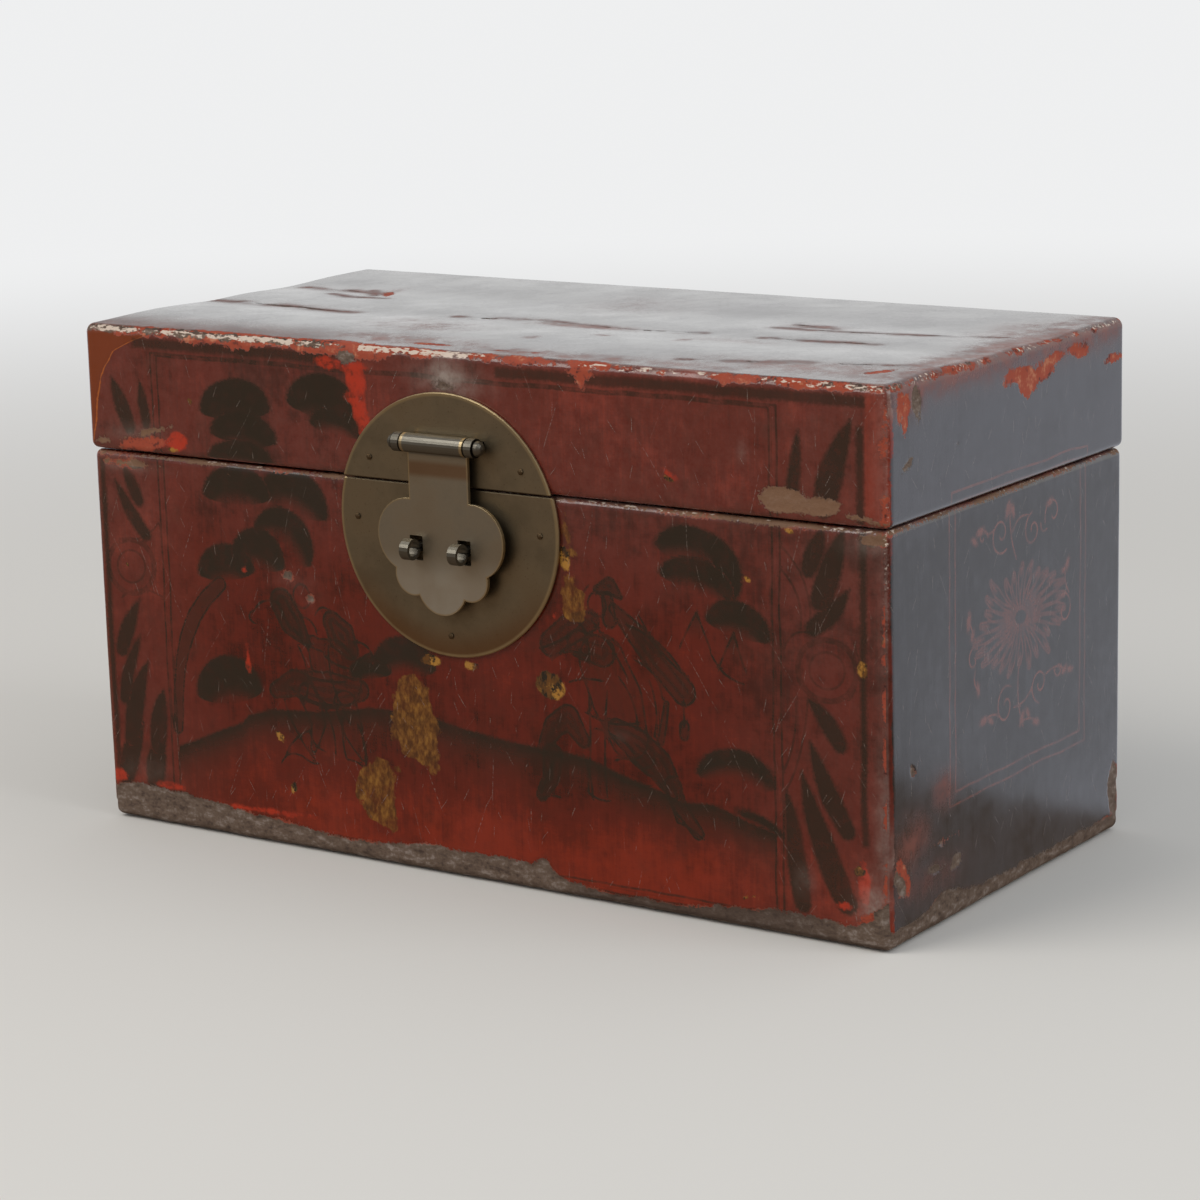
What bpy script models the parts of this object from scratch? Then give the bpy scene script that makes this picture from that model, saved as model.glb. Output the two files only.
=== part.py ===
"""Small lacquered document trunk with a hinged lid, a round split lock plate and a swinging hasp.

A finger-jointed softwood carcass carries a lacquered covering, which turns over the mouth and under the
foot. Units are metres, +Z is up, the front faces -Y and the origin is the middle of the underside.
"""

import math

import bmesh
import bpy
from mathutils import Matrix, Vector

# Overall sizes
BASE_LENGTH = 0.398
BASE_DEPTH = 0.200
TRUNK_HEIGHT = 0.222
LID_HEIGHT = 0.055  # top of the lid above the middle of the seam
SEAM_GAP = 0.0006
LID_OVERHANG = 0.001  # lid past the base, at the front and at both ends
FIT = 0.0003  # gap between pieces that touch
OVERCUT = 0.002  # how far a cutter reaches past what it cuts

# Wooden carcass
WALL = 0.009
BOTTOM = 0.010
TOP = 0.008
FRONT_PLANK = 0.080
MIDDLE_PLANK = 0.058
BASE_FINGERS = 7
LID_FINGERS = 3
CORNER_EASE = 0.002  # rounding of the wood under the covering
FOOT_EASE = 0.0018
MOUTH_EASE = 0.0008
LID_TOP_EASE = 0.0016
PEG_RADIUS = 0.002
PEG_GRIP = 0.016  # length of a peg inside the wall
PEG_END_INSET = 0.060  # pegs of the bottom board from the ends of the trunk

# Lacquered covering
COVER = 0.002
TURN_UNDER = 0.010
FOOT_GAP = 0.0004  # turned-under covering above the ground

# Lock plate
PLATE_RADIUS = 0.055
PLATE_THICKNESS = 0.0015
PLATE_OFFSET = -0.0054  # plate centre left of the middle of the front
PLATE_DROP = 0.0165  # plate centre below the seam
PLATE_SPLIT = 0.0010
PLATE_BEVEL = 0.0004
PLATE_NAIL_RING = 0.046
UPPER_NAIL_ANGLES = (34.0, 146.0)
LOWER_NAIL_ANGLES = (0.0, 180.0, 270.0)

# Hasp and its pivot
BARREL_RISE = 0.018  # pivot above the seam
BARREL_RADIUS = 0.004
BARREL_WALL = 0.0016
BARREL_STANDOFF = 0.0012  # barrel in front of the plate
KNUCKLE_LENGTH = 0.032
STRAP_WIDTH = 0.004
PIN_CLEARANCE = 0.0003
PIN_HEAD_LENGTH = 0.0032
PIN_HEAD_RADIUS = 0.0033
HASP_THICKNESS = 0.0016
HASP_SET_BACK = 0.0015  # middle of the hasp plate behind the pivot
HASP_BEVEL = 0.0003
NECK_WIDTH = 0.030
SHOULDER_OUT = 0.016  # lobe centres: out from the middle, down from the pivot, and radius
SHOULDER_DOWN = 0.039
SHOULDER_RADIUS = 0.0157
CHEEK_OUT = 0.0143
CHEEK_DOWN = 0.055
CHEEK_RADIUS = 0.009
TIP_DOWN = 0.0585
TIP_RADIUS = 0.0125

# Lock eyes
EYE_SPACING = 0.0242
EYE_DROP = 0.0435  # eye centre below the pivot
EYE_RADIUS = 0.0044
EYE_STRIP = 0.0013
EYE_WIDTH = 0.0044
SLOT_SIDE_CLEARANCE = 0.0010
SLOT_SWING_CLEARANCE = 0.0006
LEG_GAP = 0.0004  # between the two legs of an eye or a strap
CLINCH = 0.010

# Back hinges
HINGE_SPACING = 0.230
LEAF_RADIUS = 0.026
LEAF_THICKNESS = 0.0012
LEAF_SET = 0.0002  # barrel wall in front of the back face of the leaf
LEAF_CHORD = 0.0006  # straight edge of a leaf from the seam
HINGE_RADIUS = 0.0034
HINGE_WALL = 0.0012
LID_KNUCKLE = 0.014
BASE_KNUCKLE = 0.006
HINGE_HEAD_LENGTH = 0.0022
KNUCKLE_RELIEF = 0.0006  # leaf edge from the other leaf's knuckle
TONGUE_INSET = 0.0002  # sides of a rolled tongue from the ends of its knuckle
LEAF_NAIL_RING = 0.020
LEAF_NAIL_ANGLES = (30.0, 90.0, 150.0)

# Nails
NAIL_HEAD_RADIUS = 0.0014
NAIL_HEAD_HEIGHT = 0.0007
NAIL_SHOULDER = 0.7  # share of the head's radius and height where its dome turns over
NAIL_RADIUS = 0.0006
NAIL_LENGTH = 0.009
NAIL_CLEARANCE = 0.0002

# Facets of round shapes
CORNER_STEPS = 5
EDGE_STEPS = 3
BARREL_SIDES = 24
PEG_SIDES = 8
NAIL_SIDES = 6
HEAD_STEPS = 3
DISC_STEPS = 60
LOBE_STEPS = 14
EYE_STEPS = 18
WELD = 1e-6  # loose caps of an outline closer than this are joined
FLAT_DEGREES = 0.1  # faces of a cap that turn less than this are one face
SMOOTH_DEGREES = 40.0  # edges of round pieces that turn less than this are shaded smooth
BEVEL_DEGREES = 60.0  # edges of plates that turn more than this are bevelled
MITRE_LIMIT = 2.0  # most that a strip's corner reaches past its edge, in half thicknesses

# Places that follow from the sizes
SEAM_HEIGHT = TRUNK_HEIGHT - LID_HEIGHT
SKIN = COVER + FIT  # from the outside to the wood
BASE_LOW = Vector((-BASE_LENGTH / 2, -BASE_DEPTH / 2, FOOT_GAP))
BASE_HIGH = Vector((BASE_LENGTH / 2, BASE_DEPTH / 2, SEAM_HEIGHT - SEAM_GAP / 2))
LID_LOW = Vector((BASE_LOW.x - LID_OVERHANG, BASE_LOW.y - LID_OVERHANG, SEAM_HEIGHT + SEAM_GAP / 2))
LID_HIGH = Vector((BASE_HIGH.x + LID_OVERHANG, BASE_HIGH.y, TRUNK_HEIGHT))
UPPER_FACE = LID_LOW.y - FIT - PLATE_THICKNESS
LOWER_FACE = BASE_LOW.y - FIT - PLATE_THICKNESS
BARREL_FORWARD = UPPER_FACE - BARREL_STANDOFF - BARREL_RADIUS
PIVOT = Vector((PLATE_OFFSET, BARREL_FORWARD, SEAM_HEIGHT + BARREL_RISE))
PIN_RADIUS = BARREL_RADIUS - BARREL_WALL - PIN_CLEARANCE
HASP_FRONT = PIVOT.y + HASP_SET_BACK - HASP_THICKNESS / 2
EYE = Vector((PLATE_OFFSET, HASP_FRONT - FIT - EYE_RADIUS, PIVOT.z - EYE_DROP))
STRAP_OUT = KNUCKLE_LENGTH / 2 + FIT + STRAP_WIDTH / 2
HINGE = Vector((0.0, BASE_HIGH.y + FIT + LEAF_SET + HINGE_RADIUS, SEAM_HEIGHT))
HINGE_PIN_RADIUS = HINGE_RADIUS - HINGE_WALL - PIN_CLEARANCE
HINGE_HEAD_RADIUS = HINGE_RADIUS + LEAF_SET - LEAF_THICKNESS - FIT
KNUCKLE_IN = LID_KNUCKLE / 2 + FIT
KNUCKLE_OUT = KNUCKLE_IN + BASE_KNUCKLE

# Outline planes: a flat outline's own x, y and thickness turned into the part's frame
FRONT_PLANE = Matrix(((1, 0, 0), (0, 0, -1), (0, 1, 0)))
SIDE_PLANE = Matrix(((0, 0, 1), (1, 0, 0), (0, 1, 0)))


def clear_scene():
    for obj in list(bpy.data.objects):
        bpy.data.objects.remove(obj, do_unlink=True)


def new_collection(name):
    collection = bpy.data.collections.new(name)
    bpy.context.scene.collection.children.link(collection)
    return collection


clear_scene()
PARTS = new_collection("lacquered_trunk")
CUTTERS = new_collection("cutters")


def new_material(name, colour, roughness, metallic=0.0):
    material = bpy.data.materials.new(name)
    material.use_nodes = True
    shader = material.node_tree.nodes["Principled BSDF"]
    shader.inputs["Base Color"].default_value = (*colour, 1.0)
    shader.inputs["Roughness"].default_value = roughness
    shader.inputs["Metallic"].default_value = metallic
    return material


LACQUER = new_material("red_brown_lacquer", (0.10, 0.022, 0.014), 0.35)
WOOD = new_material("softwood", (0.32, 0.20, 0.11), 0.75)
BAMBOO = new_material("bamboo", (0.45, 0.33, 0.17), 0.65)
BRASS = new_material("aged_brass", (0.16, 0.13, 0.075), 0.45, 0.9)


def new_axis(name, place, parent=None):
    """An empty that carries the pieces of one body, placed on the body's joint axis."""
    axis = bpy.data.objects.new(name, None)
    PARTS.objects.link(axis)
    axis.parent = parent
    axis.location = place - Vector(parent["place_of_axis"]) if parent else place
    axis["place_of_axis"] = place
    return axis


def new_part(name, bm, body, material, is_round=False):
    """The piece in bm, drawn in the part's frame, as an object that hangs on its body's axis."""
    bmesh.ops.translate(bm, verts=bm.verts, vec=-Vector(body["place_of_axis"]))
    obj = bpy.data.objects.new(name, to_mesh(name, bm))
    PARTS.objects.link(obj)
    obj.parent = body
    obj.data.materials.append(material)
    if is_round:
        obj.data.shade_smooth()
        obj.data.set_sharp_from_angle(angle=math.radians(SMOOTH_DEGREES))
    return obj


def new_copies(names, mesh, places, body, material):
    """Objects that share one mesh, each placed by a matrix in the part's frame."""
    mesh.materials.append(material)
    for name, place in zip(names, places):
        obj = bpy.data.objects.new(name, mesh)
        PARTS.objects.link(obj)
        obj.parent = body
        obj.matrix_basis = Matrix.Translation(-Vector(body["place_of_axis"])) @ place


def new_cutter(name, bm):
    obj = bpy.data.objects.new(name, to_mesh(name, bm))
    CUTTERS.objects.link(obj)
    obj.hide_render = True
    obj.display_type = "WIRE"
    return obj


def to_mesh(name, bm):
    bmesh.ops.recalc_face_normals(bm, faces=bm.faces)
    mesh = bpy.data.meshes.new(name)
    bm.to_mesh(mesh)
    bm.free()
    return mesh


def boolean(obj, operation, *cutters, solver="EXACT"):
    for cutter in cutters:
        modifier = obj.modifiers.new(cutter.name, "BOOLEAN")
        modifier.operation = operation
        modifier.solver = solver
        modifier.object = cutter


def bevel(obj, width):
    modifier = obj.modifiers.new("edge", "BEVEL")
    modifier.width = width
    modifier.segments = 1
    modifier.limit_method = "ANGLE"
    modifier.angle_limit = math.radians(BEVEL_DEGREES)


# Basic forms

def add_block(bm, low, high):
    low = Vector(low)
    high = Vector(high)
    made = bmesh.ops.create_cube(bm, size=1.0)["verts"]
    bmesh.ops.scale(bm, verts=made, vec=high - low)
    bmesh.ops.translate(bm, verts=made, vec=(low + high) / 2)
    return made


def block(low, high):
    bm = bmesh.new()
    add_block(bm, low, high)
    return bm


def add_cylinder(bm, start, direction, length, radius, sides):
    """A round bar from start along direction, with a flat of its facets facing the frame's axes."""
    turn = Vector((0, 0, 1)).rotation_difference(Vector(direction)).to_matrix().to_4x4()
    place = Matrix.Translation(Vector(start)) @ turn @ Matrix.Translation((0, 0, length / 2))
    bmesh.ops.create_cone(
        bm, cap_ends=True, segments=sides, radius1=radius, radius2=radius, depth=length, matrix=place
    )


def round_edges(bm, edges, radius, steps):
    bmesh.ops.bevel(
        bm,
        geom=edges,
        offset=radius,
        segments=steps,
        profile=0.5,  # a quarter circle
        affect="EDGES",
        offset_type="OFFSET",
    )


def rounded_block(low, high, corner, below, above):
    """A box with its upright edges, then its lower and its upper edges rounded."""
    bm = block(low, high)
    upright = [e for e in bm.edges if abs(e.verts[0].co.z - e.verts[1].co.z) > (high.z - low.z) / 2]
    round_edges(bm, upright, corner, CORNER_STEPS)
    for level, radius in ((low.z, below), (high.z, above)):
        face = min(bm.faces, key=lambda f: abs(f.calc_center_median().z - level) - abs(f.normal.z))
        round_edges(bm, list(face.edges), radius, EDGE_STEPS)
    return bm


def outline(loops, half_thickness, plane, place):
    """Closed loops of points in one plane, filled with their holes left open, as a flat solid."""
    curve = bpy.data.curves.new("outline", "CURVE")
    curve.dimensions = "2D"
    curve.fill_mode = "BOTH"
    curve.extrude = half_thickness
    for loop in loops:
        spline = curve.splines.new("POLY")
        spline.points.add(len(loop) - 1)
        for point, (across, up) in zip(spline.points, loop):
            point.co = (across, up, 0.0, 1.0)
        spline.use_cyclic_u = True
    holder = bpy.data.objects.new("outline", curve)
    bpy.context.scene.collection.objects.link(holder)
    graph = bpy.context.evaluated_depsgraph_get()
    mesh = bpy.data.meshes.new_from_object(holder.evaluated_get(graph))
    bpy.data.objects.remove(holder)
    bpy.data.curves.remove(curve)
    bm = bmesh.new()
    bm.from_mesh(mesh)
    bpy.data.meshes.remove(mesh)
    bmesh.ops.remove_doubles(bm, verts=bm.verts, dist=WELD)
    bmesh.ops.dissolve_limit(bm, angle_limit=math.radians(FLAT_DEGREES), verts=bm.verts, edges=bm.edges)
    bmesh.ops.transform(bm, verts=bm.verts, matrix=Matrix.Translation(place) @ plane.to_4x4())
    return bm


def arc(centre, radius, first, last, steps):
    """Points of a circle from angle first to angle last, in radians, both ends included."""
    angles = [first + (last - first) * i / steps for i in range(steps + 1)]
    return [(centre[0] + radius * math.cos(a), centre[1] + radius * math.sin(a)) for a in angles]


def turned(profile, sides):
    """A closed solid from a profile of (radius, height) points, top to bottom, turned about Z."""
    bm = bmesh.new()
    points = [bm.verts.new((radius, 0.0, height)) for radius, height in profile]
    for one, two in zip(points, points[1:]):
        bm.edges.new((one, two))
    mesh = bpy.data.meshes.new("profile")
    bm.to_mesh(mesh)
    bm.free()
    holder = bpy.data.objects.new("profile", mesh)
    bpy.context.scene.collection.objects.link(holder)
    screw = holder.modifiers.new("turn", "SCREW")
    screw.steps = sides
    screw.render_steps = sides
    screw.use_merge_vertices = True
    screw.merge_threshold = WELD
    graph = bpy.context.evaluated_depsgraph_get()
    made = bpy.data.meshes.new_from_object(holder.evaluated_get(graph))
    bpy.data.objects.remove(holder)
    bpy.data.meshes.remove(mesh)
    bm = bmesh.new()
    bm.from_mesh(made)
    bpy.data.meshes.remove(made)
    return bm


# Carcass and covering

def base_form(inset):
    """The base's rounded box, set in by inset; the wood has the eased radii and the outside the largest."""
    growth = SKIN - inset
    step = Vector((inset, inset, inset))
    return rounded_block(
        BASE_LOW + step, BASE_HIGH - step, CORNER_EASE + growth, FOOT_EASE + growth, MOUTH_EASE + growth
    )


def lid_form(inset):
    growth = SKIN - inset
    step = Vector((inset, inset, inset))
    return rounded_block(
        LID_LOW + step, LID_HIGH - step, CORNER_EASE + growth, MOUTH_EASE + growth, LID_TOP_EASE + growth
    )


def finger_loop(half_span, low, high, mouth_up, fingers, first_out):
    """Outline of a wall whose two ends have fingers: every second step reaches past the corner.

    The steps are equal, and each finger is half a fit smaller than its step on either side. The edge at
    the mouth reaches past the wood's form, which trims it.
    """
    out = half_span + OVERCUT
    inside = half_span - WALL - FIT
    pitch = (high - low) / fingers
    side = []
    for step in range(fingers):
        is_out = (step % 2 == 0) == first_out
        start = low + step * pitch + (FIT / 2 if is_out else -FIT / 2)
        end = low + (step + 1) * pitch - (FIT / 2 if is_out else -FIT / 2)
        if step == 0:
            start = low if mouth_up else low - OVERCUT
        if step == fingers - 1:
            end = high + OVERCUT if mouth_up else high
        across = out if is_out else inside
        side += [(across, start), (across, end)]
    return side + [(-across, up) for across, up in reversed(side)]


def walls(names, low, high, mouth_up, fingers, body, form, cuts):
    """Front, back, left and right walls of a finger-jointed frame, trimmed to the wood's rounded form."""
    middle = (low + high) / 2
    half_length = (high.x - low.x) / 2
    half_depth = (high.y - low.y) / 2
    half = (WALL + OVERCUT) / 2
    reach = (OVERCUT - WALL) / 2
    spots = (
        (half_length, True, FRONT_PLANE, Vector((middle.x, low.y - reach, 0))),
        (half_length, True, FRONT_PLANE, Vector((middle.x, high.y + reach, 0))),
        (half_depth, False, SIDE_PLANE, Vector((low.x - reach, middle.y, 0))),
        (half_depth, False, SIDE_PLANE, Vector((high.x + reach, middle.y, 0))),
    )
    for name, (half_span, first_out, plane, place) in zip(names, spots):
        loop = finger_loop(half_span, low.z, high.z, mouth_up, fingers, first_out)
        wall = new_part(name, outline([loop], half, plane, place), body, WOOD)
        boolean(wall, "INTERSECT", form, solver="MANIFOLD")
        boolean(wall, "DIFFERENCE", *cuts[name], solver="MANIFOLD")


def bottom_peg_places(low, high):
    """Two pegs over the middle of the front wall and two over the back wall."""
    along = (low.x + PEG_END_INSET, high.x - PEG_END_INSET)
    return [(x, y) for y in (low.y + WALL / 2, high.y - WALL / 2) for x in along]


def top_peg_places(low, high, rows):
    """A peg at each end of each top plank, over the middle of the end rails."""
    return [(x, y) for y in rows for x in (low.x + WALL / 2, high.x - WALL / 2)]


def peg_holes(name, places, bottom, top):
    bm = bmesh.new()
    for x, y in places:
        add_cylinder(bm, (x, y, bottom), (0, 0, 1), top - bottom, PEG_RADIUS + FIT, PEG_SIDES)
    return new_cutter(name, bm)


def pegs(name, places, bottom, top, body):
    """Upright pegs that share one mesh."""
    bm = bmesh.new()
    add_cylinder(bm, (0, 0, 0), (0, 0, 1), top - bottom, PEG_RADIUS, PEG_SIDES)
    spots = [Matrix.Translation((x, y, bottom)) for x, y in places]
    new_copies([f"{name}_{i + 1}" for i in range(len(places))], to_mesh(name, bm), spots, body, BAMBOO)


# Brass

def nail_places(centre, ring, angles):
    """Points (x, z) on a ring round centre, in the plane of the front or the back."""
    turns = [math.radians(angle) for angle in angles]
    return [(centre[0] + ring * math.cos(t), centre[1] + ring * math.sin(t)) for t in turns]


def add_nail_holes(bm, places, face, outward):
    """Holes for nails whose heads sit on the plane y = face; outward is -1 in front and 1 at the back."""
    depth = NAIL_LENGTH + FIT + OVERCUT
    for x, z in places:
        start = (x, face + outward * OVERCUT, z)
        radius = NAIL_RADIUS + NAIL_CLEARANCE
        add_cylinder(bm, start, (0, -outward, 0), depth, radius, NAIL_SIDES)


def nails(names, places, face, outward, body):
    """Round-headed nails that share one mesh, standing a fit proud of the plane y = face."""
    profile = [
        (0.0, NAIL_HEAD_HEIGHT),
        (NAIL_HEAD_RADIUS * NAIL_SHOULDER, NAIL_HEAD_HEIGHT * NAIL_SHOULDER),
        (NAIL_HEAD_RADIUS, 0.0),
        (NAIL_RADIUS, 0.0),
        (NAIL_RADIUS, -NAIL_LENGTH + 2 * NAIL_RADIUS),
        (0.0, -NAIL_LENGTH),
    ]
    mesh = to_mesh("nail", turned(profile, NAIL_SIDES))
    mesh.shade_smooth()
    mesh.set_sharp_from_angle(angle=math.radians(SMOOTH_DEGREES))
    turn = Vector((0, 0, 1)).rotation_difference(Vector((0, outward, 0))).to_matrix().to_4x4()
    spots = [Matrix.Translation((x, face + outward * FIT, z)) @ turn for x, z in places]
    new_copies(names, mesh, spots, body, BRASS)


def ribbon(path, thickness):
    """The closed outline of a strip of even thickness along an open path, with mitred corners."""
    points = [Vector(point) for point in path]
    left = []
    right = []
    for i, point in enumerate(points):
        before = (point - points[i - 1]).normalized() if i > 0 else None
        after = (points[i + 1] - point).normalized() if i < len(points) - 1 else None
        along = ((before or after) + (after or before)).normalized()
        across = Vector((-along.y, along.x))
        mitre = thickness / 2 * min(1 / along.dot(after or before), MITRE_LIMIT)
        left.append(point + across * mitre)
        right.append(point - across * mitre)
    return [tuple(point) for point in left + right[::-1]]


def staple(radius, strip, width, place, inner_face):
    """A strip bent round an eye, its two legs through the wall and clinched up and down on the inside.

    place is the centre of the eye and inner_face the y of the wall's inside.
    """
    leg = (LEG_GAP + strip) / 2
    middle = radius - strip / 2
    opening = math.asin(leg / middle)
    clinch = inner_face + FIT + strip / 2 - place.y
    eye = arc((0.0, 0.0), middle, opening, 2 * math.pi - opening, EYE_STEPS)
    path = [(clinch, leg + CLINCH), (clinch, leg), *eye, (clinch, -leg), (clinch, -leg - CLINCH)]
    return outline([ribbon(path, strip)], width / 2, SIDE_PLANE, place)


def add_leg_hole(bm, x, z, strip, width, outside, inside):
    """A square way through plate, covering and wall for the two legs of a staple."""
    half_width = width / 2 + FIT
    half_height = LEG_GAP / 2 + strip + FIT
    low = (x - half_width, outside - OVERCUT, z - half_height)
    add_block(bm, low, (x + half_width, inside + OVERCUT, z + half_height))


def pin(length, radius, head_radius, head_length, place):
    """A pin along X with a domed head at each end."""
    half = length / 2
    turns = [i * math.pi / 2 / HEAD_STEPS for i in range(HEAD_STEPS + 1)]
    dome = [(head_radius * math.sin(t), half + head_length * math.cos(t)) for t in turns]
    upper = dome + [(radius, half)]
    profile = upper + [(r, -z) for r, z in reversed(upper)]
    bm = turned(profile, BARREL_SIDES)
    along_x = Matrix.Translation(place) @ Matrix.Rotation(math.pi / 2, 4, "Y")
    bmesh.ops.transform(bm, verts=bm.verts, matrix=along_x)
    return bm


def plate_half(upper):
    """One side of the round lock plate, cut straight a half split above or below the seam."""
    rise = PLATE_DROP + (PLATE_SPLIT / 2 if upper else -PLATE_SPLIT / 2)
    edge = math.asin(rise / PLATE_RADIUS)
    last = math.pi - edge if upper else -math.pi - edge
    loop = arc((0.0, 0.0), PLATE_RADIUS, edge, last, DISC_STEPS // (2 if upper else 1))
    face = UPPER_FACE if upper else LOWER_FACE
    place = Vector((PLATE_OFFSET, face + PLATE_THICKNESS / 2, SEAM_HEIGHT - PLATE_DROP))
    return outline([loop], PLATE_THICKNESS / 2, FRONT_PLANE, place)


def circle_meeting(one, one_radius, two, two_radius):
    """The outer (larger x) point where two circles cross."""
    one = Vector(one)
    two = Vector(two)
    apart = two - one
    distance = apart.length
    along = (distance**2 + one_radius**2 - two_radius**2) / (2 * distance)
    off = math.sqrt(one_radius**2 - along**2)
    foot = one + apart * along / distance
    across = Vector((-apart.y, apart.x)) / distance
    return max((foot + across * off, foot - across * off), key=lambda p: p.x)


def angle_of(point, centre):
    return math.atan2(point[1] - centre[1], point[0] - centre[0])


def hasp_outline():
    """The cloud: a neck, two shoulder lobes, two cheek lobes and a tip lobe, below the pivot at (0, 0)."""
    shoulder = (SHOULDER_OUT, -SHOULDER_DOWN)
    cheek = (CHEEK_OUT, -CHEEK_DOWN)
    tip = (0.0, -TIP_DOWN)
    half_neck = NECK_WIDTH / 2
    lift = math.sqrt(SHOULDER_RADIUS**2 - (half_neck - SHOULDER_OUT) ** 2)
    root = (half_neck, lift - SHOULDER_DOWN)
    upper_notch = circle_meeting(shoulder, SHOULDER_RADIUS, cheek, CHEEK_RADIUS)
    lower_notch = circle_meeting(cheek, CHEEK_RADIUS, tip, TIP_RADIUS)
    half = [(half_neck, -BARREL_RADIUS + BARREL_WALL)]
    shoulder_ends = (angle_of(root, shoulder), angle_of(upper_notch, shoulder))
    half += arc(shoulder, SHOULDER_RADIUS, *shoulder_ends, LOBE_STEPS)
    cheek_ends = (angle_of(upper_notch, cheek), angle_of(lower_notch, cheek))
    half += arc(cheek, CHEEK_RADIUS, *cheek_ends, LOBE_STEPS)[1:]
    half += arc(tip, TIP_RADIUS, angle_of(lower_notch, tip), -math.pi / 2, LOBE_STEPS)[1:]
    return half + [(-across, up) for across, up in reversed(half[:-1])]


def slot_loop(across):
    """A slot that the eye passes as the hasp swings: from the eye's nearest to its farthest reach."""
    reach = math.hypot(PIVOT.y - EYE.y, EYE_DROP)
    half_width = EYE_WIDTH / 2 + SLOT_SIDE_CLEARANCE
    top = -(reach - EYE_RADIUS - SLOT_SWING_CLEARANCE)
    bottom = -(reach + EYE_RADIUS + SLOT_SWING_CLEARANCE)
    return [
        (across - half_width, top),
        (across + half_width, top),
        (across + half_width, bottom),
        (across - half_width, bottom),
    ]


def barrel_cutter(name, place, spans, radius):
    """Round bars along X, one for each (start, end) measured from place."""
    bm = bmesh.new()
    for start, end in spans:
        add_cylinder(bm, place + Vector((start, 0, 0)), (1, 0, 0), end - start, radius, BARREL_SIDES)
    return new_cutter(name, bm)


def leaf_outline(for_lid):
    """A half disc with tongues that roll round the pin and notches for the other leaf's knuckles."""
    notch = HINGE_RADIUS + KNUCKLE_RELIEF
    edge = math.asin(LEAF_CHORD / LEAF_RADIUS)
    rim = arc((0.0, 0.0), LEAF_RADIUS, edge, math.pi - edge, DISC_STEPS // 2)
    if for_lid:
        clear = KNUCKLE_OUT + FIT + HINGE_HEAD_LENGTH + FIT
        tongue = LID_KNUCKLE / 2 - TONGUE_INSET
        half = [(clear, LEAF_CHORD), (clear, notch), (tongue, notch), (tongue, 0.0)]
    else:
        inner = KNUCKLE_IN + TONGUE_INSET
        outer = KNUCKLE_OUT - TONGUE_INSET
        half = [(outer, LEAF_CHORD), (outer, 0.0), (inner, 0.0), (inner, notch)]
    upward = rim + [(-across, up) for across, up in half] + half[::-1]
    return upward if for_lid else [(across, -up) for across, up in upward]


def hinge_leaf(name, body, place, for_lid, holes):
    spans = (
        [(-LID_KNUCKLE / 2, LID_KNUCKLE / 2)]
        if for_lid
        else [(-KNUCKLE_OUT, -KNUCKLE_IN), (KNUCKLE_IN, KNUCKLE_OUT)]
    )
    flat = Vector((place.x, BASE_HIGH.y + FIT + LEAF_THICKNESS / 2, place.z))
    leaf = new_part(
        name, outline([leaf_outline(for_lid)], LEAF_THICKNESS / 2, FRONT_PLANE, flat), body, BRASS, True
    )
    through = [(-KNUCKLE_OUT - OVERCUT, KNUCKLE_OUT + OVERCUT)]
    bore = barrel_cutter(name + "_bore", place, through, HINGE_RADIUS - HINGE_WALL)
    boolean(leaf, "UNION", barrel_cutter(name + "_barrel", place, spans, HINGE_RADIUS))
    boolean(leaf, "DIFFERENCE", bore, holes)


# The trunk

base = new_axis("base_frame", Vector((0, 0, 0)))
lid = new_axis("lid_axis", HINGE, base)
hasp_body = new_axis("hasp_axis", PIVOT, lid)

wood_low = BASE_LOW + Vector((SKIN, SKIN, SKIN))
wood_high = BASE_HIGH - Vector((SKIN, SKIN, SKIN))
lid_wood_low = LID_LOW + Vector((SKIN, SKIN, SKIN))
lid_wood_high = LID_HIGH - Vector((SKIN, SKIN, SKIN))
base_front_inside = wood_low.y + WALL
lid_front_inside = lid_wood_low.y + WALL
plank_underside = lid_wood_high.z - TOP

# Holes through the walls for the legs of the straps and eyes, and for nails
plate_centre = (PLATE_OFFSET, SEAM_HEIGHT - PLATE_DROP)
upper_nails = nail_places(plate_centre, PLATE_NAIL_RING, UPPER_NAIL_ANGLES)
lower_nails = nail_places(plate_centre, PLATE_NAIL_RING, LOWER_NAIL_ANGLES)
hinge_centres = {
    "left": HINGE + Vector((-HINGE_SPACING / 2, 0, 0)),
    "right": HINGE + Vector((HINGE_SPACING / 2, 0, 0)),
}
lid_leaf_nails = []
base_leaf_nails = []
lid_leaf_nail_names = []
base_leaf_nail_names = []
for side, centre in hinge_centres.items():
    lid_leaf_nails += nail_places((centre.x, centre.z), LEAF_NAIL_RING, LEAF_NAIL_ANGLES)
    base_leaf_nails += nail_places((centre.x, centre.z), LEAF_NAIL_RING, [-a for a in LEAF_NAIL_ANGLES])
    for i in range(len(LEAF_NAIL_ANGLES)):
        lid_leaf_nail_names.append(f"hinge_{side}_lid_nail_{i + 1}")
        base_leaf_nail_names.append(f"hinge_{side}_base_nail_{i + 1}")
leaf_face = BASE_HIGH.y + FIT + LEAF_THICKNESS

bm = bmesh.new()
for side in (-1, 1):
    add_leg_hole(
        bm, PLATE_OFFSET + side * STRAP_OUT, PIVOT.z, BARREL_WALL, STRAP_WIDTH, UPPER_FACE, lid_front_inside
    )
add_nail_holes(bm, upper_nails, UPPER_FACE, -1)
lid_front_holes = new_cutter("lid_front_holes", bm)

bm = bmesh.new()
for side in (-1, 1):
    add_leg_hole(
        bm, EYE.x + side * EYE_SPACING / 2, EYE.z, EYE_STRIP, EYE_WIDTH, LOWER_FACE, base_front_inside
    )
add_nail_holes(bm, lower_nails, LOWER_FACE, -1)
base_front_holes = new_cutter("base_front_holes", bm)

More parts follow.
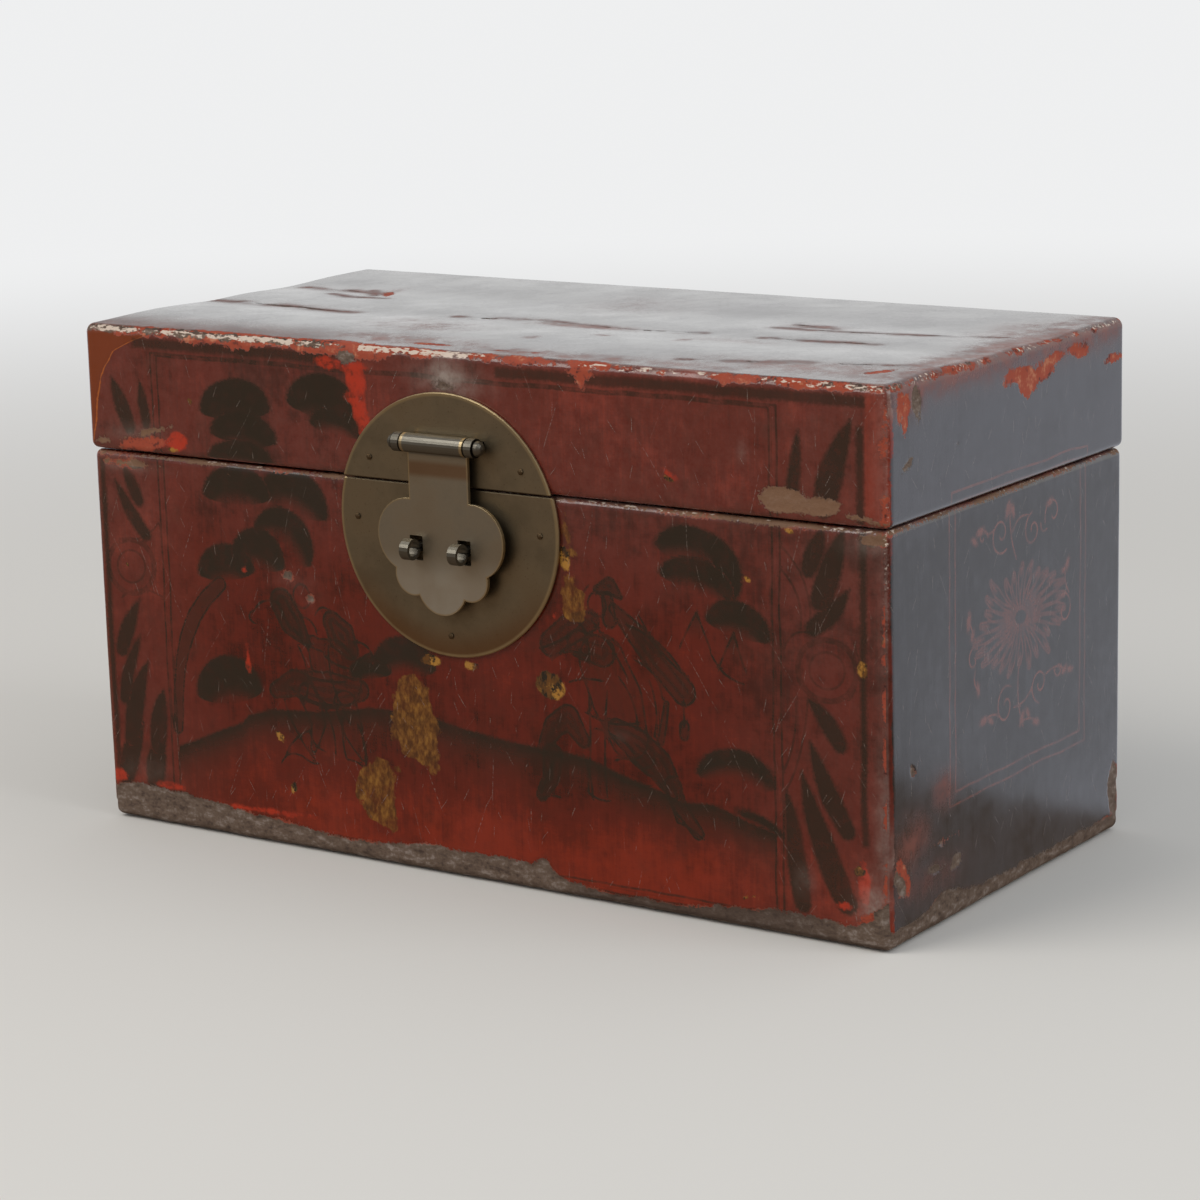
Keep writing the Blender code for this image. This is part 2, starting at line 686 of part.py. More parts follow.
bm = bmesh.new()
add_nail_holes(bm, lid_leaf_nails, leaf_face, 1)
lid_back_holes = new_cutter("lid_back_holes", bm)

bm = bmesh.new()
add_nail_holes(bm, base_leaf_nails, leaf_face, 1)
base_back_holes = new_cutter("base_back_holes", bm)

# Pegs through the bottom board into the long walls, and through the top planks into the end rails
bottom_pegs = bottom_peg_places(wood_low, wood_high)
bottom_peg_top = BOTTOM + FIT + PEG_GRIP
bottom_peg_holes = peg_holes("bottom_peg_holes", bottom_pegs, wood_low.z - OVERCUT, bottom_peg_top + FIT)
pegs("bottom_peg", bottom_pegs, wood_low.z + FIT, bottom_peg_top, base)
plank_edges = [
    lid_wood_low.y,
    lid_wood_low.y + FRONT_PLANK,
    lid_wood_low.y + FRONT_PLANK + MIDDLE_PLANK,
    lid_wood_high.y,
]
plank_middles = [(front + back) / 2 for front, back in zip(plank_edges, plank_edges[1:])]
top_pegs = top_peg_places(lid_wood_low, lid_wood_high, plank_middles)
top_peg_bottom = plank_underside - FIT - PEG_GRIP
top_peg_holes = peg_holes("top_peg_holes", top_pegs, top_peg_bottom - FIT, lid_wood_high.z + OVERCUT)
pegs("top_peg", top_pegs, top_peg_bottom, lid_wood_high.z - FIT, lid)

# Base carcass
base_wood = new_cutter("base_wood_form", base_form(SKIN))
walls(
    ("base_front_board", "base_back_board", "base_left_board", "base_right_board"),
    Vector((wood_low.x, wood_low.y, BOTTOM + FIT)),
    wood_high,
    True,
    BASE_FINGERS,
    base,
    base_wood,
    {
        "base_front_board": (bottom_peg_holes, base_front_holes),
        "base_back_board": (bottom_peg_holes, base_back_holes),
        "base_left_board": (),
        "base_right_board": (),
    },
)
past = Vector((OVERCUT, OVERCUT, OVERCUT))
bottom_high = Vector((wood_high.x + OVERCUT, wood_high.y + OVERCUT, BOTTOM))
bottom_board = new_part("base_bottom_board", block(wood_low - past, bottom_high), base, WOOD)
boolean(bottom_board, "INTERSECT", base_wood)
foot_inset = TURN_UNDER + FIT
foot_low = Vector((BASE_LOW.x + foot_inset, BASE_LOW.y + foot_inset, 0.0))
foot_high = Vector((BASE_HIGH.x - foot_inset, BASE_HIGH.y - foot_inset, (wood_low.z + BOTTOM) / 2))
boolean(bottom_board, "UNION", new_cutter("bottom_board_foot", block(foot_low, foot_high)))
boolean(bottom_board, "DIFFERENCE", bottom_peg_holes)

# Base covering: the rounded outside less the wood's room, the mouth and the opening under the foot
base_cover = new_part("base_cover", base_form(0.0), base, LACQUER, True)
rim = SKIN + WALL
mouth_low = Vector((BASE_LOW.x + rim, BASE_LOW.y + rim, SEAM_HEIGHT / 2))
mouth_high = Vector((BASE_HIGH.x - rim, BASE_HIGH.y - rim, BASE_HIGH.z + OVERCUT))
under_low = Vector((BASE_LOW.x + TURN_UNDER, BASE_LOW.y + TURN_UNDER, -OVERCUT))
under_high = Vector((BASE_HIGH.x - TURN_UNDER, BASE_HIGH.y - TURN_UNDER, SEAM_HEIGHT / 2))
boolean(
    base_cover,
    "DIFFERENCE",
    new_cutter("base_cavity", base_form(COVER)),
    new_cutter("base_mouth", block(mouth_low, mouth_high)),
    new_cutter("base_underside", block(under_low, under_high)),
    base_front_holes,
    base_back_holes,
)

# Lid carcass
lid_wood = new_cutter("lid_wood_form", lid_form(SKIN))
walls(
    ("lid_front_rail", "lid_back_rail", "lid_left_rail", "lid_right_rail"),
    lid_wood_low,
    Vector((lid_wood_high.x, lid_wood_high.y, plank_underside - FIT)),
    False,
    LID_FINGERS,
    lid,
    lid_wood,
    {
        "lid_front_rail": (lid_front_holes,),
        "lid_back_rail": (lid_back_holes,),
        "lid_left_rail": (top_peg_holes,),
        "lid_right_rail": (top_peg_holes,),
    },
)
plank_names = ("lid_front_plank", "lid_middle_plank", "lid_back_plank")
for i, name in enumerate(plank_names):
    front = plank_edges[i] + (FIT / 2 if i > 0 else -OVERCUT)
    back = plank_edges[i + 1] + (-FIT / 2 if i < len(plank_names) - 1 else OVERCUT)
    plank_low = Vector((lid_wood_low.x - OVERCUT, front, plank_underside))
    plank_high = Vector((lid_wood_high.x + OVERCUT, back, lid_wood_high.z + OVERCUT))
    plank = new_part(name, block(plank_low, plank_high), lid, WOOD)
    boolean(plank, "INTERSECT", lid_wood)
    boolean(plank, "DIFFERENCE", top_peg_holes)

# Lid covering
lid_cover = new_part("lid_cover", lid_form(0.0), lid, LACQUER, True)
lid_mouth_low = Vector((LID_LOW.x + rim, LID_LOW.y + rim, LID_LOW.z - OVERCUT))
lid_mouth_high = Vector((LID_HIGH.x - rim, LID_HIGH.y - rim, (LID_LOW.z + LID_HIGH.z) / 2))
boolean(
    lid_cover,
    "DIFFERENCE",
    new_cutter("lid_cavity", lid_form(COVER)),
    new_cutter("lid_mouth", block(lid_mouth_low, lid_mouth_high)),
    lid_front_holes,
    lid_back_holes,
)

# Lock plate, its nails, the straps, the eyes and the hasp
for name, body, upper, holes in (
    ("upper_lock_plate", lid, True, lid_front_holes),
    ("lower_lock_plate", base, False, base_front_holes),
):
    plate = new_part(name, plate_half(upper), body, BRASS)
    bevel(plate, PLATE_BEVEL)
    boolean(plate, "DIFFERENCE", holes)
nails(("upper_plate_nail_right", "upper_plate_nail_left"), upper_nails, UPPER_FACE, -1, lid)
lower_nail_names = ("lower_plate_nail_right", "lower_plate_nail_left", "lower_plate_nail_bottom")
nails(lower_nail_names, lower_nails, LOWER_FACE, -1, base)

for name, side in (("left", -1), ("right", 1)):
    strap_place = PIVOT + Vector((side * STRAP_OUT, 0, 0))
    strap = staple(BARREL_RADIUS, BARREL_WALL, STRAP_WIDTH, strap_place, lid_front_inside)
    new_part(f"hasp_strap_{name}", strap, lid, BRASS, True)
    eye_place = EYE + Vector((side * EYE_SPACING / 2, 0, 0))
    eye = staple(EYE_RADIUS, EYE_STRIP, EYE_WIDTH, eye_place, base_front_inside)
    new_part(f"lock_eye_{name}", eye, base, BRASS, True)

pin_length = KNUCKLE_LENGTH + 2 * (FIT + STRAP_WIDTH + FIT)
hasp_pin = pin(pin_length, PIN_RADIUS, PIN_HEAD_RADIUS, PIN_HEAD_LENGTH, PIVOT)
new_part("hasp_pin", hasp_pin, lid, BRASS, True)

hasp_plate_place = PIVOT + Vector((0, HASP_SET_BACK, 0))
hasp_loops = [hasp_outline(), slot_loop(-EYE_SPACING / 2), slot_loop(EYE_SPACING / 2)]
hasp_plate = outline(hasp_loops, HASP_THICKNESS / 2, FRONT_PLANE, hasp_plate_place)
hasp = new_part("hasp", hasp_plate, hasp_body, BRASS)
bevel(hasp, HASP_BEVEL)
knuckle = [(-KNUCKLE_LENGTH / 2, KNUCKLE_LENGTH / 2)]
bore = [(-KNUCKLE_LENGTH / 2 - OVERCUT, KNUCKLE_LENGTH / 2 + OVERCUT)]
boolean(hasp, "UNION", barrel_cutter("hasp_knuckle", PIVOT, knuckle, BARREL_RADIUS))
boolean(hasp, "DIFFERENCE", barrel_cutter("hasp_bore", PIVOT, bore, BARREL_RADIUS - BARREL_WALL))

# Back hinges
hinge_pin_length = 2 * (KNUCKLE_OUT + FIT)
for name, centre in hinge_centres.items():
    hinge_leaf(f"hinge_{name}_base_leaf", base, centre, False, base_back_holes)
    hinge_leaf(f"hinge_{name}_lid_leaf", lid, centre, True, lid_back_holes)
    hinge_pin = pin(hinge_pin_length, HINGE_PIN_RADIUS, HINGE_HEAD_RADIUS, HINGE_HEAD_LENGTH, centre)
    new_part(f"hinge_{name}_pin", hinge_pin, base, BRASS, True)
nails(lid_leaf_nail_names, lid_leaf_nails, leaf_face, 1, lid)
nails(base_leaf_nail_names, base_leaf_nails, leaf_face, 1, base)
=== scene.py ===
"""Looks of the lacquered document trunk: painted and worn lacquer, aged brass, carcass wood and the stage.

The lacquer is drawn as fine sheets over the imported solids. What is painted, chipped or worn on a sheet is
worked out as distances in millimetres at its points. The lacquer's material turns them into colour, gloss
and relief.
"""

import functools
import math

import bpy
import numpy as np
from mathutils import Color, Matrix, Vector


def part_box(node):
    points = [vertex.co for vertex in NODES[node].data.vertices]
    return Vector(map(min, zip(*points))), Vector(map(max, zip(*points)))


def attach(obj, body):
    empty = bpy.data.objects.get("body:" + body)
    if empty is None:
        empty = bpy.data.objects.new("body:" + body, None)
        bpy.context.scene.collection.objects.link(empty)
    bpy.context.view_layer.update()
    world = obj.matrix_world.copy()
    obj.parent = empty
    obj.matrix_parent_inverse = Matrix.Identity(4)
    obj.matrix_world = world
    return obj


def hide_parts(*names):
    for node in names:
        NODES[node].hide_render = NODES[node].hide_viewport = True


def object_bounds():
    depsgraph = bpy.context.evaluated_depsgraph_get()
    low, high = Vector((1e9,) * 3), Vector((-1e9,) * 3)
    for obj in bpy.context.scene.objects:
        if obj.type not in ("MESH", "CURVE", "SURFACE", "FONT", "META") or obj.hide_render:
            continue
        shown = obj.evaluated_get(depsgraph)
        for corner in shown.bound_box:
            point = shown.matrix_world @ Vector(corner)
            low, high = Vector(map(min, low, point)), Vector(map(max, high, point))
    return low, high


bl_info = {
    "name": "Lacquered trunk",
    "version": (1, 0, 0),
    "blender": (4, 5, 0),
    "location": "View3D > Sidebar > Trunk",
    "description": "Dresses the packed trunk with painted lacquer, aged brass and carcass wood",
    "category": "Object",
}

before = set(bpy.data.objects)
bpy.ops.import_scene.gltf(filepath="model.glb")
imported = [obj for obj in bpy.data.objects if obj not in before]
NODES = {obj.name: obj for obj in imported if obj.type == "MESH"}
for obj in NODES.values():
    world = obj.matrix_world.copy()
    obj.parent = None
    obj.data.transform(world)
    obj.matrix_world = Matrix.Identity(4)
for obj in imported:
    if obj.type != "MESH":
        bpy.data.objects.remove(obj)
CAD_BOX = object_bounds()
MM = 0.001
BASE_LOW, BASE_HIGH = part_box("base_cover")
LID_LOW, LID_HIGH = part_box("lid_cover")
PLATE_LOW, PLATE_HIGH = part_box("lower_lock_plate")
PLATE_RADIUS = (PLATE_HIGH.x - PLATE_LOW.x) / 2
PLATE_CENTRE = Vector(((PLATE_LOW.x + PLATE_HIGH.x) / 2, PLATE_LOW.y, PLATE_LOW.z + PLATE_RADIUS))
PIVOT = (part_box("hasp_pin")[0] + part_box("hasp_pin")[1]) / 2


def linear(code):
    """A hex colour as written for a screen, turned to linear light."""
    parts = [int(code[i : i + 2], 16) / 255 for i in (1, 3, 5)]
    return tuple(p / 12.92 if p <= 0.04045 else ((p + 0.055) / 1.055) ** 2.4 for p in parts)


def colour_property(name, description, code):
    return bpy.props.FloatVectorProperty(
        name=name, description=description, subtype="COLOR", size=3, min=0.0, max=1.0, default=linear(code)
    )


def length_property(name, description, metres):
    return bpy.props.FloatProperty(
        name=name, description=description, subtype="DISTANCE", unit="LENGTH", precision=5, default=metres
    )


class LacquerSettings(bpy.types.PropertyGroup):
    """Sizes and colours of the lacquered covering."""

    corner: length_property("Corner radius", "Rounding of the upright edges", 4.3 * MM)
    foot: length_property("Foot radius", "Rounding of the lower edge of the base", 4.1 * MM)
    mouth: length_property("Mouth radius", "Rounding of the two edges at the seam", 3.1 * MM)
    crown: length_property("Top radius", "Rounding of the upper edge of the lid", 3.9 * MM)
    rim: length_property("Rim width", "Lacquer turned over the edge of the walls", 11.3 * MM)
    turn_under: length_property("Turn under", "Lacquer turned under the foot", 10.0 * MM)
    thickness: length_property("Thickness", "Thickness of the covering", 2.0 * MM)
    fine_step: length_property("Fine step", "Grid step of the painted faces", 0.9 * MM)
    coarse_step: length_property("Coarse step", "Grid step of the plain faces", 1.8 * MM)
    wave: length_property("Waviness", "Height of the slow unevenness of the covering", 0.22 * MM)
    chip_depth: length_property("Chip depth", "How far a chip lies below the lacquer", 0.35 * MM)
    crack_depth: length_property("Crack depth", "Depth of the cracks over the plank joints", 0.6 * MM)
    red_deep: colour_property("Deep red", "Red lacquer where it has darkened", "#431209")
    red: colour_property("Red", "Red lacquer", "#601a0d")
    red_bright: colour_property("Bright red", "Red lacquer where it is thin", "#83250f")
    amber: colour_property("Amber", "Brown glaze at the lid's left end", "#7a3511")
    amber_bright: colour_property("Bright amber", "Broken edge of the glaze", "#b35f22")
    red_vivid: colour_property("Vivid red", "Fresh red strokes and spots", "#b03018")
    ink: colour_property("Ink", "Black-brown of the painted scene", "#261f16")
    black: colour_property("Black", "Black-brown lacquer of the ends, back and top", "#1f1815")
    # Grey bloom: partly real, partly a painted reflection of the pale haze the black lacquer mirrors
    bloom_and_reflection: colour_property("Bloom", "Grey bloom on the black lacquer", "#424044")
    madder: colour_property("Madder", "Thin red-brown drawing on the ends", "#9a5446")
    madder_dark: colour_property("Dark madder", "Red-brown that shows through thin black", "#75443a")
    undercoat: colour_property("Undercoat", "Orange-red first coat seen in chips", "#9c3d1f")
    undercoat_pale: colour_property("Pale undercoat", "First coat where it is chalky", "#bd7a58")
    gesso_dark: colour_property("Dark gesso", "Ground under the lacquer where it is soiled", "#46342a")
    gesso: colour_property("Gesso", "Grey-brown ground under the lacquer", "#655142")
    gesso_pale: colour_property("Pale gesso", "Chalky ground at rubbed edges", "#94857b")
    # Chalk flecks along the lid's front edge are partly painted glints of light
    chalk_and_glints: colour_property("Chalk", "White filler that flecks the rubbed edges", "#cfbcab")
    bare_wood: colour_property("Bare wood", "Tan wood where ground and lacquer are gone", "#7f583a")
    gold_dark: colour_property("Dark gold", "Soiled gold size", "#4d2c10")
    gold: colour_property("Gold", "Remains of gold size", "#6e4419")
    gold_bright: colour_property("Bright gold", "Gold that has kept its shine", "#a6742e")


class MetalSettings(bpy.types.PropertyGroup):
    """Colours of the brass fittings."""

    brass_dark: colour_property("Dark brass", "Clouds on the dull brass", "#897c66")
    brass: colour_property("Brass", "Dull olive brass of the plates", "#a0927a")
    # Pale rims of the plate and hasp: partly rubbed brass, partly a painted highlight
    worn: colour_property("Worn brass", "Brass rubbed bright on rims", "#c9b48b")
    # Laid most strongly toward the hasp's tip as a painted reflection
    pale: colour_property("Pale brass", "Handled brass of the hasp", "#dcd8cc")
    tarnish: colour_property("Tarnish", "Brown tarnish in spots and low on the plate", "#5c452c")
    # Also a painted shade: the brown band where the hasp's neck bends under the barrel
    warm_tarnish_and_shade: colour_property("Warm tarnish", "Orange-brown tarnish under the barrel", "#8a5c30")
    grey: colour_property("Grey film", "Grey film on the barrel and the eyes", "#71726e")
    soot: colour_property("Soot", "Dirt in the joints of the barrel", "#1c1712")


class WoodSettings(bpy.types.PropertyGroup):
    """Colours of the carcass."""

    early: colour_property("Early wood", "Pale bands of the softwood", "#a57f54")
    late: colour_property("Late wood", "Dark bands of the softwood", "#86623c")
    pores: colour_property("Pores", "Dark fibres of the softwood", "#5d4126")


class StageSettings(bpy.types.PropertyGroup):
    """Camera, floor and light."""

    azimuth: bpy.props.FloatProperty(
        name="Azimuth", description="Camera right of the front", subtype="ANGLE", default=math.radians(34.42)
    )
    elevation: bpy.props.FloatProperty(
        name="Elevation", description="Camera above the level", subtype="ANGLE", default=math.radians(12.62)
    )
    roll: bpy.props.FloatProperty(
        name="Roll", description="Turn about the view", subtype="ANGLE", default=math.radians(-1.47)
    )
    distance: length_property("Distance", "Camera from the middle of the trunk", 1.525)
    aside: length_property("Aside", "View centre right of the middle of the trunk", -0.0007)
    rise: length_property("Rise", "View centre above the middle of the trunk", -0.0109)
    lens: bpy.props.FloatProperty(name="Lens", description="Focal length in millimetres", default=105.9)
    floor: colour_property("Floor", "Plain pale floor", "#dddad4")


SETTINGS = {
    "trunk_lacquer": LacquerSettings,
    "trunk_metal": MetalSettings,
    "trunk_wood": WoodSettings,
    "trunk_stage": StageSettings,
}


# Noise and grids

NOISE_TABLE = 1 << 14
NOISE_PRIMES = np.array((73856093, 19349663, 83492791), np.int64)


def noise(points, cell, seed):
    """Smooth noise from 0 to 1: random values at the corners of cells, blended by smoothstep weights."""
    scaled = points / cell
    low = np.floor(scaled).astype(np.int64)
    part = scaled - low
    part = part * part * (3 - 2 * part)
    table = np.random.default_rng(seed).random(NOISE_TABLE)
    keys = low * NOISE_PRIMES, (low + 1) * NOISE_PRIMES
    weights = 1 - part, part
    total = np.zeros(points.shape[:-1])
    for i, j, k in np.ndindex(2, 2, 2):
        key = (keys[i][..., 0] ^ keys[j][..., 1] ^ keys[k][..., 2]) & (NOISE_TABLE - 1)
        total += weights[i][..., 0] * weights[j][..., 1] * weights[k][..., 2] * table[key]
    return total


def rough(points, cell, seed):
    """Noise from about -1 to 1 in two sizes, the finer one at a third of the cell and half the height."""
    return (noise(points, cell, seed) - 0.5) * 1.4 + (noise(points, cell / 3, seed + 1) - 0.5) * 0.7


def smoothstep(value, low, high):
    part = np.clip((value - low) / (high - low), 0, 1)
    return part * part * (3 - 2 * part)


def straight(start, end, step):
    """Points of a profile from start to end, the end left out, about a step apart."""
    start, end = np.array(start), np.array(end)
    count = max(1, round(np.linalg.norm(end - start) / step))
    return start + np.linspace(0, 1, count, endpoint=False)[:, None] * (end - start)


def rounded_edge(radius, level, steps, is_upper):
    """Quarter circle of a profile at an upper or lower edge, going outwards and down; the end is left out."""
    turn = np.linspace(0, math.pi / 2, steps, endpoint=False)
    if is_upper:
        return np.stack([radius * (1 - np.sin(turn)), level - radius * (1 - np.cos(turn))], -1)
    return np.stack([radius * (1 - np.cos(turn)), level + radius * (1 - np.sin(turn))], -1)


HALF_CORNER_STEPS = 5
RIM_CORNER = 0.5 * MM  # rounding left in the corners of a loop that lies far inside the outer one


class Skin:
    """A profile of (inset, height) carried once round the trunk's rounded rectangle.

    A column's core point is the rectangle's corner or edge point drawn in by the inset and by the corner's
    rounding, and its outward normal carries the rounding. Sides are cut apart at the middle of the corners.
    """

    def __init__(self, low, high, corner, profile, steps):
        self.low, self.high = np.array(low), np.array(high)
        half = (self.high - self.low)[:2] / 2
        middle = (self.high + self.low)[:2] / 2
        turn, sign_x, sign_y, self.first = [], [], [], []
        ends = np.array(((-1, -1), (1, -1), (1, 1), (-1, 1), (-1, -1)), float)
        arc = np.radians(np.linspace(0, 45, HALF_CORNER_STEPS, endpoint=False))
        for side, step in enumerate(steps):
            facing = math.radians(90 * side - 90)
            run = np.linspace(0, 1, round(2 * half[side % 2] / step) + 1)[:, None]
            signs = np.concatenate([
                np.repeat(ends[side : side + 1], len(arc), 0),
                ends[side] + run * (ends[side + 1] - ends[side]),
                np.repeat(ends[side + 1 : side + 2], len(arc) - 1, 0),
            ])
            self.first.append(sum(len(t) for t in turn))
            turn.append(facing + np.concatenate([arc - math.pi / 4, np.zeros(len(run)), arc[1:]]))
            sign_x.append(signs[:, 0])
            sign_y.append(signs[:, 1])
        turn, sign_x, sign_y = (np.concatenate(parts) for parts in (turn, sign_x, sign_y))
        inset, height = profile[:, :1], profile[:, 1:]
        bend = np.minimum(np.maximum(corner - inset, RIM_CORNER), half[1] - inset)
        x = middle[0] + sign_x * (half[0] - inset - bend) + np.cos(turn) * bend
        y = middle[1] + sign_y * (half[1] - inset - bend) + np.sin(turn) * bend
        self.points = np.stack([x, y, np.broadcast_to(height, x.shape)], -1)
        self.normals = self.facing()
        self.layers = {}

    def facing(self):
        """Outward normals: the way down the profile crossed with the way round."""
        along = np.roll(self.points, -1, 1) - np.roll(self.points, 1, 1)
        down = np.gradient(self.points, axis=0)
        normal = np.cross(down, along)
        size = np.linalg.norm(normal, axis=-1, keepdims=True)
        return np.where(size > 1e-12, normal / np.maximum(size, 1e-12), (0.0, 0.0, 1.0))

    def displace(self, height):
        self.points = self.points + self.normals * height[..., None]
        self.normals = self.facing()

    def side(self, index):
        """Columns of one side: 0 front, 1 right, 2 back, 3 left; the last is shared with the next side."""
        count = self.points.shape[1]
        last = self.first[index + 1] if index < 3 else count
        return np.arange(self.first[index], last + 1) % count

    def piece(self, name, columns, material):
        """One side as a mesh with its layers as attributes and the whole skin's normals."""
        points = self.points[:, columns]
        rows, wide = points.shape[:2]
        corner = np.arange(rows * wide).reshape(rows, wide)
        faces = np.stack([corner[:-1, :-1], corner[1:, :-1], corner[1:, 1:], corner[:-1, 1:]], -1)
        mesh = new_mesh(name, points.reshape(-1, 3), faces.reshape(-1, 4))
        for layer, values in self.layers.items():
            attribute = mesh.attributes.new(layer, "FLOAT_VECTOR", "POINT")
            attribute.data.foreach_set("vector", values[:, columns].astype(np.float32).ravel())
        mesh.normals_split_custom_set_from_vertices(self.normals[:, columns].reshape(-1, 3))
        return new_piece(name, mesh, material)


def new_mesh(name, points, faces):
    """A smooth mesh of quads from whole arrays."""
    mesh = bpy.data.meshes.new(name)
    mesh.vertices.add(len(points))
    mesh.vertices.foreach_set("co", points.astype(np.float32).ravel())
    mesh.loops.add(faces.size)
    mesh.loops.foreach_set("vertex_index", faces.astype(np.int32).ravel())
    mesh.polygons.add(len(faces))
    mesh.polygons.foreach_set("loop_start", np.arange(0, faces.size, 4, dtype=np.int32))
    mesh.update(calc_edges=True)
    mesh.shade_smooth()
    return mesh


def new_piece(name, mesh, material):
    obj = bpy.data.objects.new(name, mesh)
    bpy.context.scene.collection.objects.link(obj)
    mesh.materials.append(material)
    return obj


# Brush shapes: signed distances in millimetres, negative inside, on arrays of places

FAR = 30.0


def from_centre(x, z, centre, tilt):
    """Places as seen from a centre, turned by tilt degrees."""
    c, s = math.cos(math.radians(tilt)), math.sin(math.radians(tilt))
    return (x - centre[0]) * c + (z - centre[1]) * s, (z - centre[1]) * c - (x - centre[0]) * s


def ellipse(x, z, centre, radii, tilt=0.0):
    """A turned ellipse: its stretched radius less one, times the smaller radius."""
    across, up = from_centre(x, z, centre, tilt)
    return (np.hypot(across / radii[0], up / radii[1]) - 1) * min(radii)


def pad(x, z, centre, radii, tilt, fade):
    """A domed pad of foliage and its share of ink: half an ellipse on a flat one, fading under an arch."""
    across, up = from_centre(x, z, centre, tilt)
    across, up = across / radii[0], up / radii[1]
    body = (np.hypot(across, np.where(up > 0, up, up / 0.3)) - 1) * min(radii)
    return body, smoothstep(up + 0.55 * across**2, fade - 0.5, fade + 0.15)


def along_line(x, z, points):
    """Nearest place on a chain of points: signed distance, plain distance and share of the way along."""
    signed = np.full(x.shape, FAR)
    near = np.full(x.shape, FAR)
    share = np.zeros(x.shape)
    points = np.array(points, float)
    lengths = np.linalg.norm(np.diff(points, axis=0), axis=1)
    reach = np.concatenate([[0], np.cumsum(lengths)])
    for start, end, length, before in zip(points, points[1:], lengths, reach):
        way = (end - start) / length
        t = np.clip((x - start[0]) * way[0] + (z - start[1]) * way[1], 0, length)
        off_x, off_z = x - start[0] - t * way[0], z - start[1] - t * way[1]
        distance = np.hypot(off_x, off_z)
        closer = distance < near
        near = np.where(closer, distance, near)
        signed = np.where(closer, np.where(off_x * way[1] - off_z * way[0] < 0, -distance, distance), signed)
        share = np.where(closer, (before + t) / reach[-1], share)
    return signed, near, share


def brush(x, z, points, widths):
    """A brush stroke along a chain of points, its width going from the first to the last of widths."""
    _, near, share = along_line(x, z, points)
    return near - np.interp(share, np.linspace(0, 1, len(widths)), widths) / 2


def curve(start, end, bow, steps=9):
    """A chain of points on a parabola that bows out to the left of the way from start to end."""
    start, end = np.array(start, float), np.array(end, float)
    way = end - start
    t = np.linspace(0, 1, steps)[:, None]
    return start + t * way + 4 * t * (1 - t) * bow * np.array((-way[1], way[0])) / np.linalg.norm(way)


def blade(x, z, start, end, width, bow=0.0):
    """A long leaf: a bowed stroke, broad at its foot and pointed at its tip."""
    widths = [share * width for share in (0.85, 1.0, 1.0, 0.85, 0.55, 0.1)]
    return brush(x, z, curve(start, end, bow), widths)


def spiral(centre, radius, first, turns, steps=20):
    """A curl that winds in to a fifth of its radius, from angle first in degrees."""
    t = np.linspace(0, 1, steps)
    angle = math.radians(first) + t * turns * 2 * math.pi
    reach = radius * (1 - 0.8 * t)
    return np.stack([centre[0] + reach * np.cos(angle), centre[1] + reach * np.sin(angle)], -1)


class Painting:
    """Filled shapes (distance, density) and drawn lines (signed and plain distance, strength) at places."""

    def __init__(self, x, z):
        self.x, self.z = x, z
        self.fill = np.full(x.shape, FAR)
        self.density = np.zeros(x.shape)
        self.signed = np.full(x.shape, FAR)
        self.near = np.full(x.shape, FAR)
        self.strength = np.zeros(x.shape)

    def lay(self, distance, density):
        """The darker of two fills holds where they overlap, the nearer one elsewhere."""
        both = (distance < 0) & (self.fill < 0)
        nearer = np.where(both, density > self.density, distance < self.fill)
        self.fill = np.where(nearer, distance, self.fill)
        self.density = np.where(nearer, density, self.density)

    def draw(self, signed, strength, near=None):
        near = np.abs(signed) if near is None else near
        nearer = near < self.near
        self.near = np.where(nearer, near, self.near)
        self.signed = np.where(nearer, signed, self.signed)
        self.strength = np.where(nearer, strength, self.strength)

    def line(self, points, strength):
        signed, near, _ = along_line(self.x, self.z, points)
        self.draw(signed, strength, near)

    def box(self, low, high, strength):
        """A rectangle's outline."""
        middle, half = (np.array(low) + high) / 2, (np.array(high) - low) / 2
        over_x, over_z = np.abs(self.x - middle[0]) - half[0], np.abs(self.z - middle[1]) - half[1]
        outside = np.hypot(np.maximum(over_x, 0), np.maximum(over_z, 0))
        self.draw(outside + np.minimum(np.maximum(over_x, over_z), 0), strength)


# The painted front: places in millimetres from the middle of the front and from the ground

FRAME_LEFT, FRAME_RIGHT, FRAME_LOW, FRAME_HIGH = -158.5, 148.0, 9.0, 210.5
PADS = (  # middle, radii, tilt, how far up the ink fades
    (-116, 190, 19.5, 13.5, 4, 0.0), (-112, 179, 18.5, 11, -4, 0.0), (-114, 168, 18, 10, 0, 0.2),
    (-68, 194, 20, 15, -6, 0.0), (-62, 186, 14, 9, -8, 0.2), (-118, 153, 19, 13, 2, 0.1),
    (-87, 152, 19, 15, -14, 0.2),
    (-94, 134, 17, 16, -24, 0.4), (-108, 126, 15, 14, -6, 0.1), (-126, 119, 16, 12.5, 8, 0.0),
    (-127, 66, 19, 16, 10, 0.1), (-32, 88, 17, 13, 4, 0.2), (-50, 83, 11, 8, 10, 0.0),
    (114, 147, 21, 13.5, -16, 0.3),
    (113, 138, 18, 10.5, -10, 0.2), (132, 122, 15.5, 11.5, -12, 0.1), (130, 61, 18.5, 12.5, -2, 0.4),
    (141, 44, 12, 4, -20, 0.2), (125, 141, 10, 9, -68, -1.0),
)
